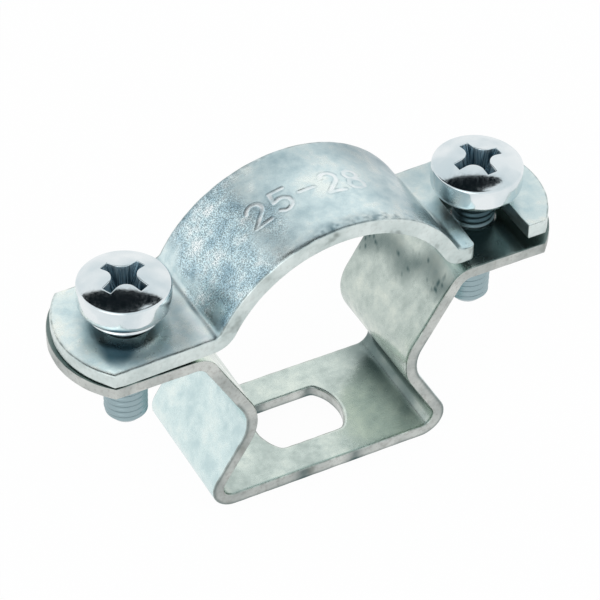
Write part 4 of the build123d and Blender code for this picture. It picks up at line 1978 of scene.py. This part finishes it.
@dataclass(frozen=True)
class Studio:
    """A white room with a soft lamp, a dark card overhead and a pale floor under the clip.

    The card stands for the dark thing that both screws' domes show in their front half. Its
    corners are given to the camera's right and ahead of it, from the foot, in millimetres. The
    floor's size and the lamp's place, aim and size are in metres, and its power is in watts.
    """

    floor_size: float = 4.0
    floor_gap: float = 0.02
    floor_glow: float = 0.96
    white: str = "#ffffff"
    paper: str = "#ffffff"
    horizon: str = "#ffffff"
    zenith: str = "#eef3f5"
    card: str = "#11181c"
    right: tuple[float, float] = (0.87, -0.49)
    card_height: float = 250.0
    card_corners: tuple[tuple[float, float], ...] = (
        (-205, 138), (-90, 104), (30, 102), (118, 112), (128, 98), (95, 60), (45, 26),
        (20, -8), (-42, -22), (-115, -2), (-205, 62))
    lamp_place: tuple[float, float, float] = (-0.45, -0.3, 0.45)
    lamp_aim: tuple[float, float, float] = (0.0, 0.0, 0.02)
    lamp_size: tuple[float, float] = (0.5, 0.5)
    lamp_power: float = 0.6

    def build(self) -> None:
        """Makes the floor, the card, the world and the lamp."""
        self._floor()
        self._card()
        self._world()
        self._lamp()

    def _sheet(self, name: str, corners: list[tuple[float, float, float]],
               finish: str) -> tuple[bpy.types.Object, Nodes]:
        """Makes one flat face of the stage.

        Args:
            name: The object's name.
            corners: Its corners, in metres.
            finish: The name of its material.

        Returns:
            The object, and its material's nodes, which are still empty.
        """
        mesh = bpy.data.meshes.new(name)
        mesh.from_pydata(corners, [], [tuple(range(len(corners)))])
        sheet = bpy.data.objects.new(name, mesh)
        bpy.context.scene.collection.objects.link(sheet)
        mesh.materials.append(bpy.data.materials.new(finish))
        return sheet, Nodes(mesh.materials[0])

    def _card(self) -> None:
        """A matt dark sheet above the clip, out of the picture."""
        rx, ry = self.right
        corners = [((side * rx - ahead * ry) * MM, (side * ry + ahead * rx) * MM, self.card_height * MM)
                   for side, ahead in self.card_corners]
        card, n = self._sheet("dark_card", corners, "dark_felt")
        matt = n.add("BsdfDiffuse", None, {"Color": linear_colour(self.card)}).outputs["BSDF"]
        n.add("OutputMaterial", None, {"Surface": matt})

    def _floor(self) -> None:
        """A level sheet under the foot, part lit and part white to the camera."""
        half = self.floor_size / 2
        level = -self.floor_gap * MM
        corners = [(-half, -half, level), (half, -half, level), (half, half, level), (-half, half, level)]
        floor, n = self._sheet("floor", corners, "white_paper")
        path = n.add("LightPath").outputs
        seen = n.add("Math", {"operation": "MAXIMUM"}, {0: path["Is Camera Ray"],
                                                        1: path["Is Glossy Ray"]}).outputs[0]
        seen = n.add("Math", {"operation": "MAXIMUM"}, {0: seen,
                                                        1: path["Is Transmission Ray"]}).outputs[0]
        share = n.add("Math", {"operation": "MULTIPLY"}, {0: seen, 1: self.floor_glow}).outputs[0]
        lit = n.add("BsdfDiffuse", None, {"Color": linear_colour(self.paper)}).outputs["BSDF"]
        glow = n.add("Emission", None, {"Color": linear_colour(self.white)}).outputs["Emission"]
        mix = n.add("MixShader", None, {"Fac": share, 1: lit, 2: glow}).outputs["Shader"]
        n.add("OutputMaterial", None, {"Surface": mix})

    def _world(self) -> None:
        """A white backdrop all round that is a little greyer overhead."""
        world = bpy.data.worlds.new("studio")
        bpy.context.scene.world = world
        n = Nodes(world)
        direction = n.add("TexCoord").outputs["Generated"]
        rise = n.add("SeparateXYZ", None, {"Vector": direction}).outputs["Z"]
        stops = [(0.3, self.horizon), (0.9, self.zenith)]
        room = n.add("ValToRGB", {"stops": stops}, {"Fac": rise}).outputs["Color"]
        lit = n.add("Background", None, {"Color": room, "Strength": 1.0}).outputs["Background"]
        n.add("OutputWorld", None, {"Surface": lit})

    def _lamp(self) -> None:
        """A rectangular soft lamp, turned from straight down to face the clip."""
        data = bpy.data.lights.new("key_panel", "AREA")
        data.shape = "RECTANGLE"
        data.size, data.size_y = self.lamp_size
        data.energy = self.lamp_power
        lamp = bpy.data.objects.new("key_panel", data)
        target = np.array(self.lamp_aim) - np.array(self.lamp_place)
        down = np.array([0.0, 0.0, -1.0])
        direction = target / np.linalg.norm(target)
        angle = math.acos(float(np.clip(np.dot(down, direction), -1, 1)))
        turn = Matrix.Rotation(angle, 4, np.cross(down, direction).tolist())
        lamp.matrix_world = Matrix.Translation(self.lamp_place) @ turn
        bpy.context.scene.collection.objects.link(lamp)


UPPER_FACE_ZINC = Plate("#bcc8c2", "#d2ddd6", "#e5ede3")
BRACKET_FINISH = ZincSheet(
    "zinc_plated_cold_rolled_steel_bracket", plain=Plate("#c5dadc", "#d6e8e8", "#e6f2ef"),
    marked=UPPER_FACE_ZINC, grainy=UPPER_FACE_ZINC, grain_dots=0.0, wall="#bcc0bd", wall_pale="#d4d7d3",
    roll="#a0a39e", film="#3a5455", specks=0.26)
STRAP_FINISH = ZincSheet(
    "zinc_plated_cold_rolled_steel_strap", plain=Plate("#d5e9ec", "#e9f6f5", "#fbfef6"),
    marked=Plate("#c2d8dd", "#daebed", "#f0f8f4"), grainy=Plate("#96b2be", "#bcd3da", "#e4f0f2"),
    grain_dots=0.66, roughness=0.3)
LEFT_SCREW = Screw("left_screw_m5", Body.LEFT_SCREW, "left_screw", x=-22.0, bearing=28.204,
                   turn=24.8, sizes=ScrewSizes(collar=0.8))
RIGHT_SCREW = Screw("right_screw_m5", Body.RIGHT_SCREW, "right_screw", x=22.0, bearing=28.503,
                    turn=3.8)


def main() -> None:
    """Builds the camera, the studio and the four pieces."""
    logging.basicConfig(level=logging.INFO, format="%(message)s")
    bpy.context.scene.view_settings.view_transform = "Standard"
    Camera().build()
    Studio().build()
    Bracket().dress(BRACKET_FINISH.build())
    Strap().dress(STRAP_FINISH.build())
    bright = ZincScrew().build()
    LEFT_SCREW.dress(bright)
    RIGHT_SCREW.dress(bright)


if __name__ == "__main__":
    main()
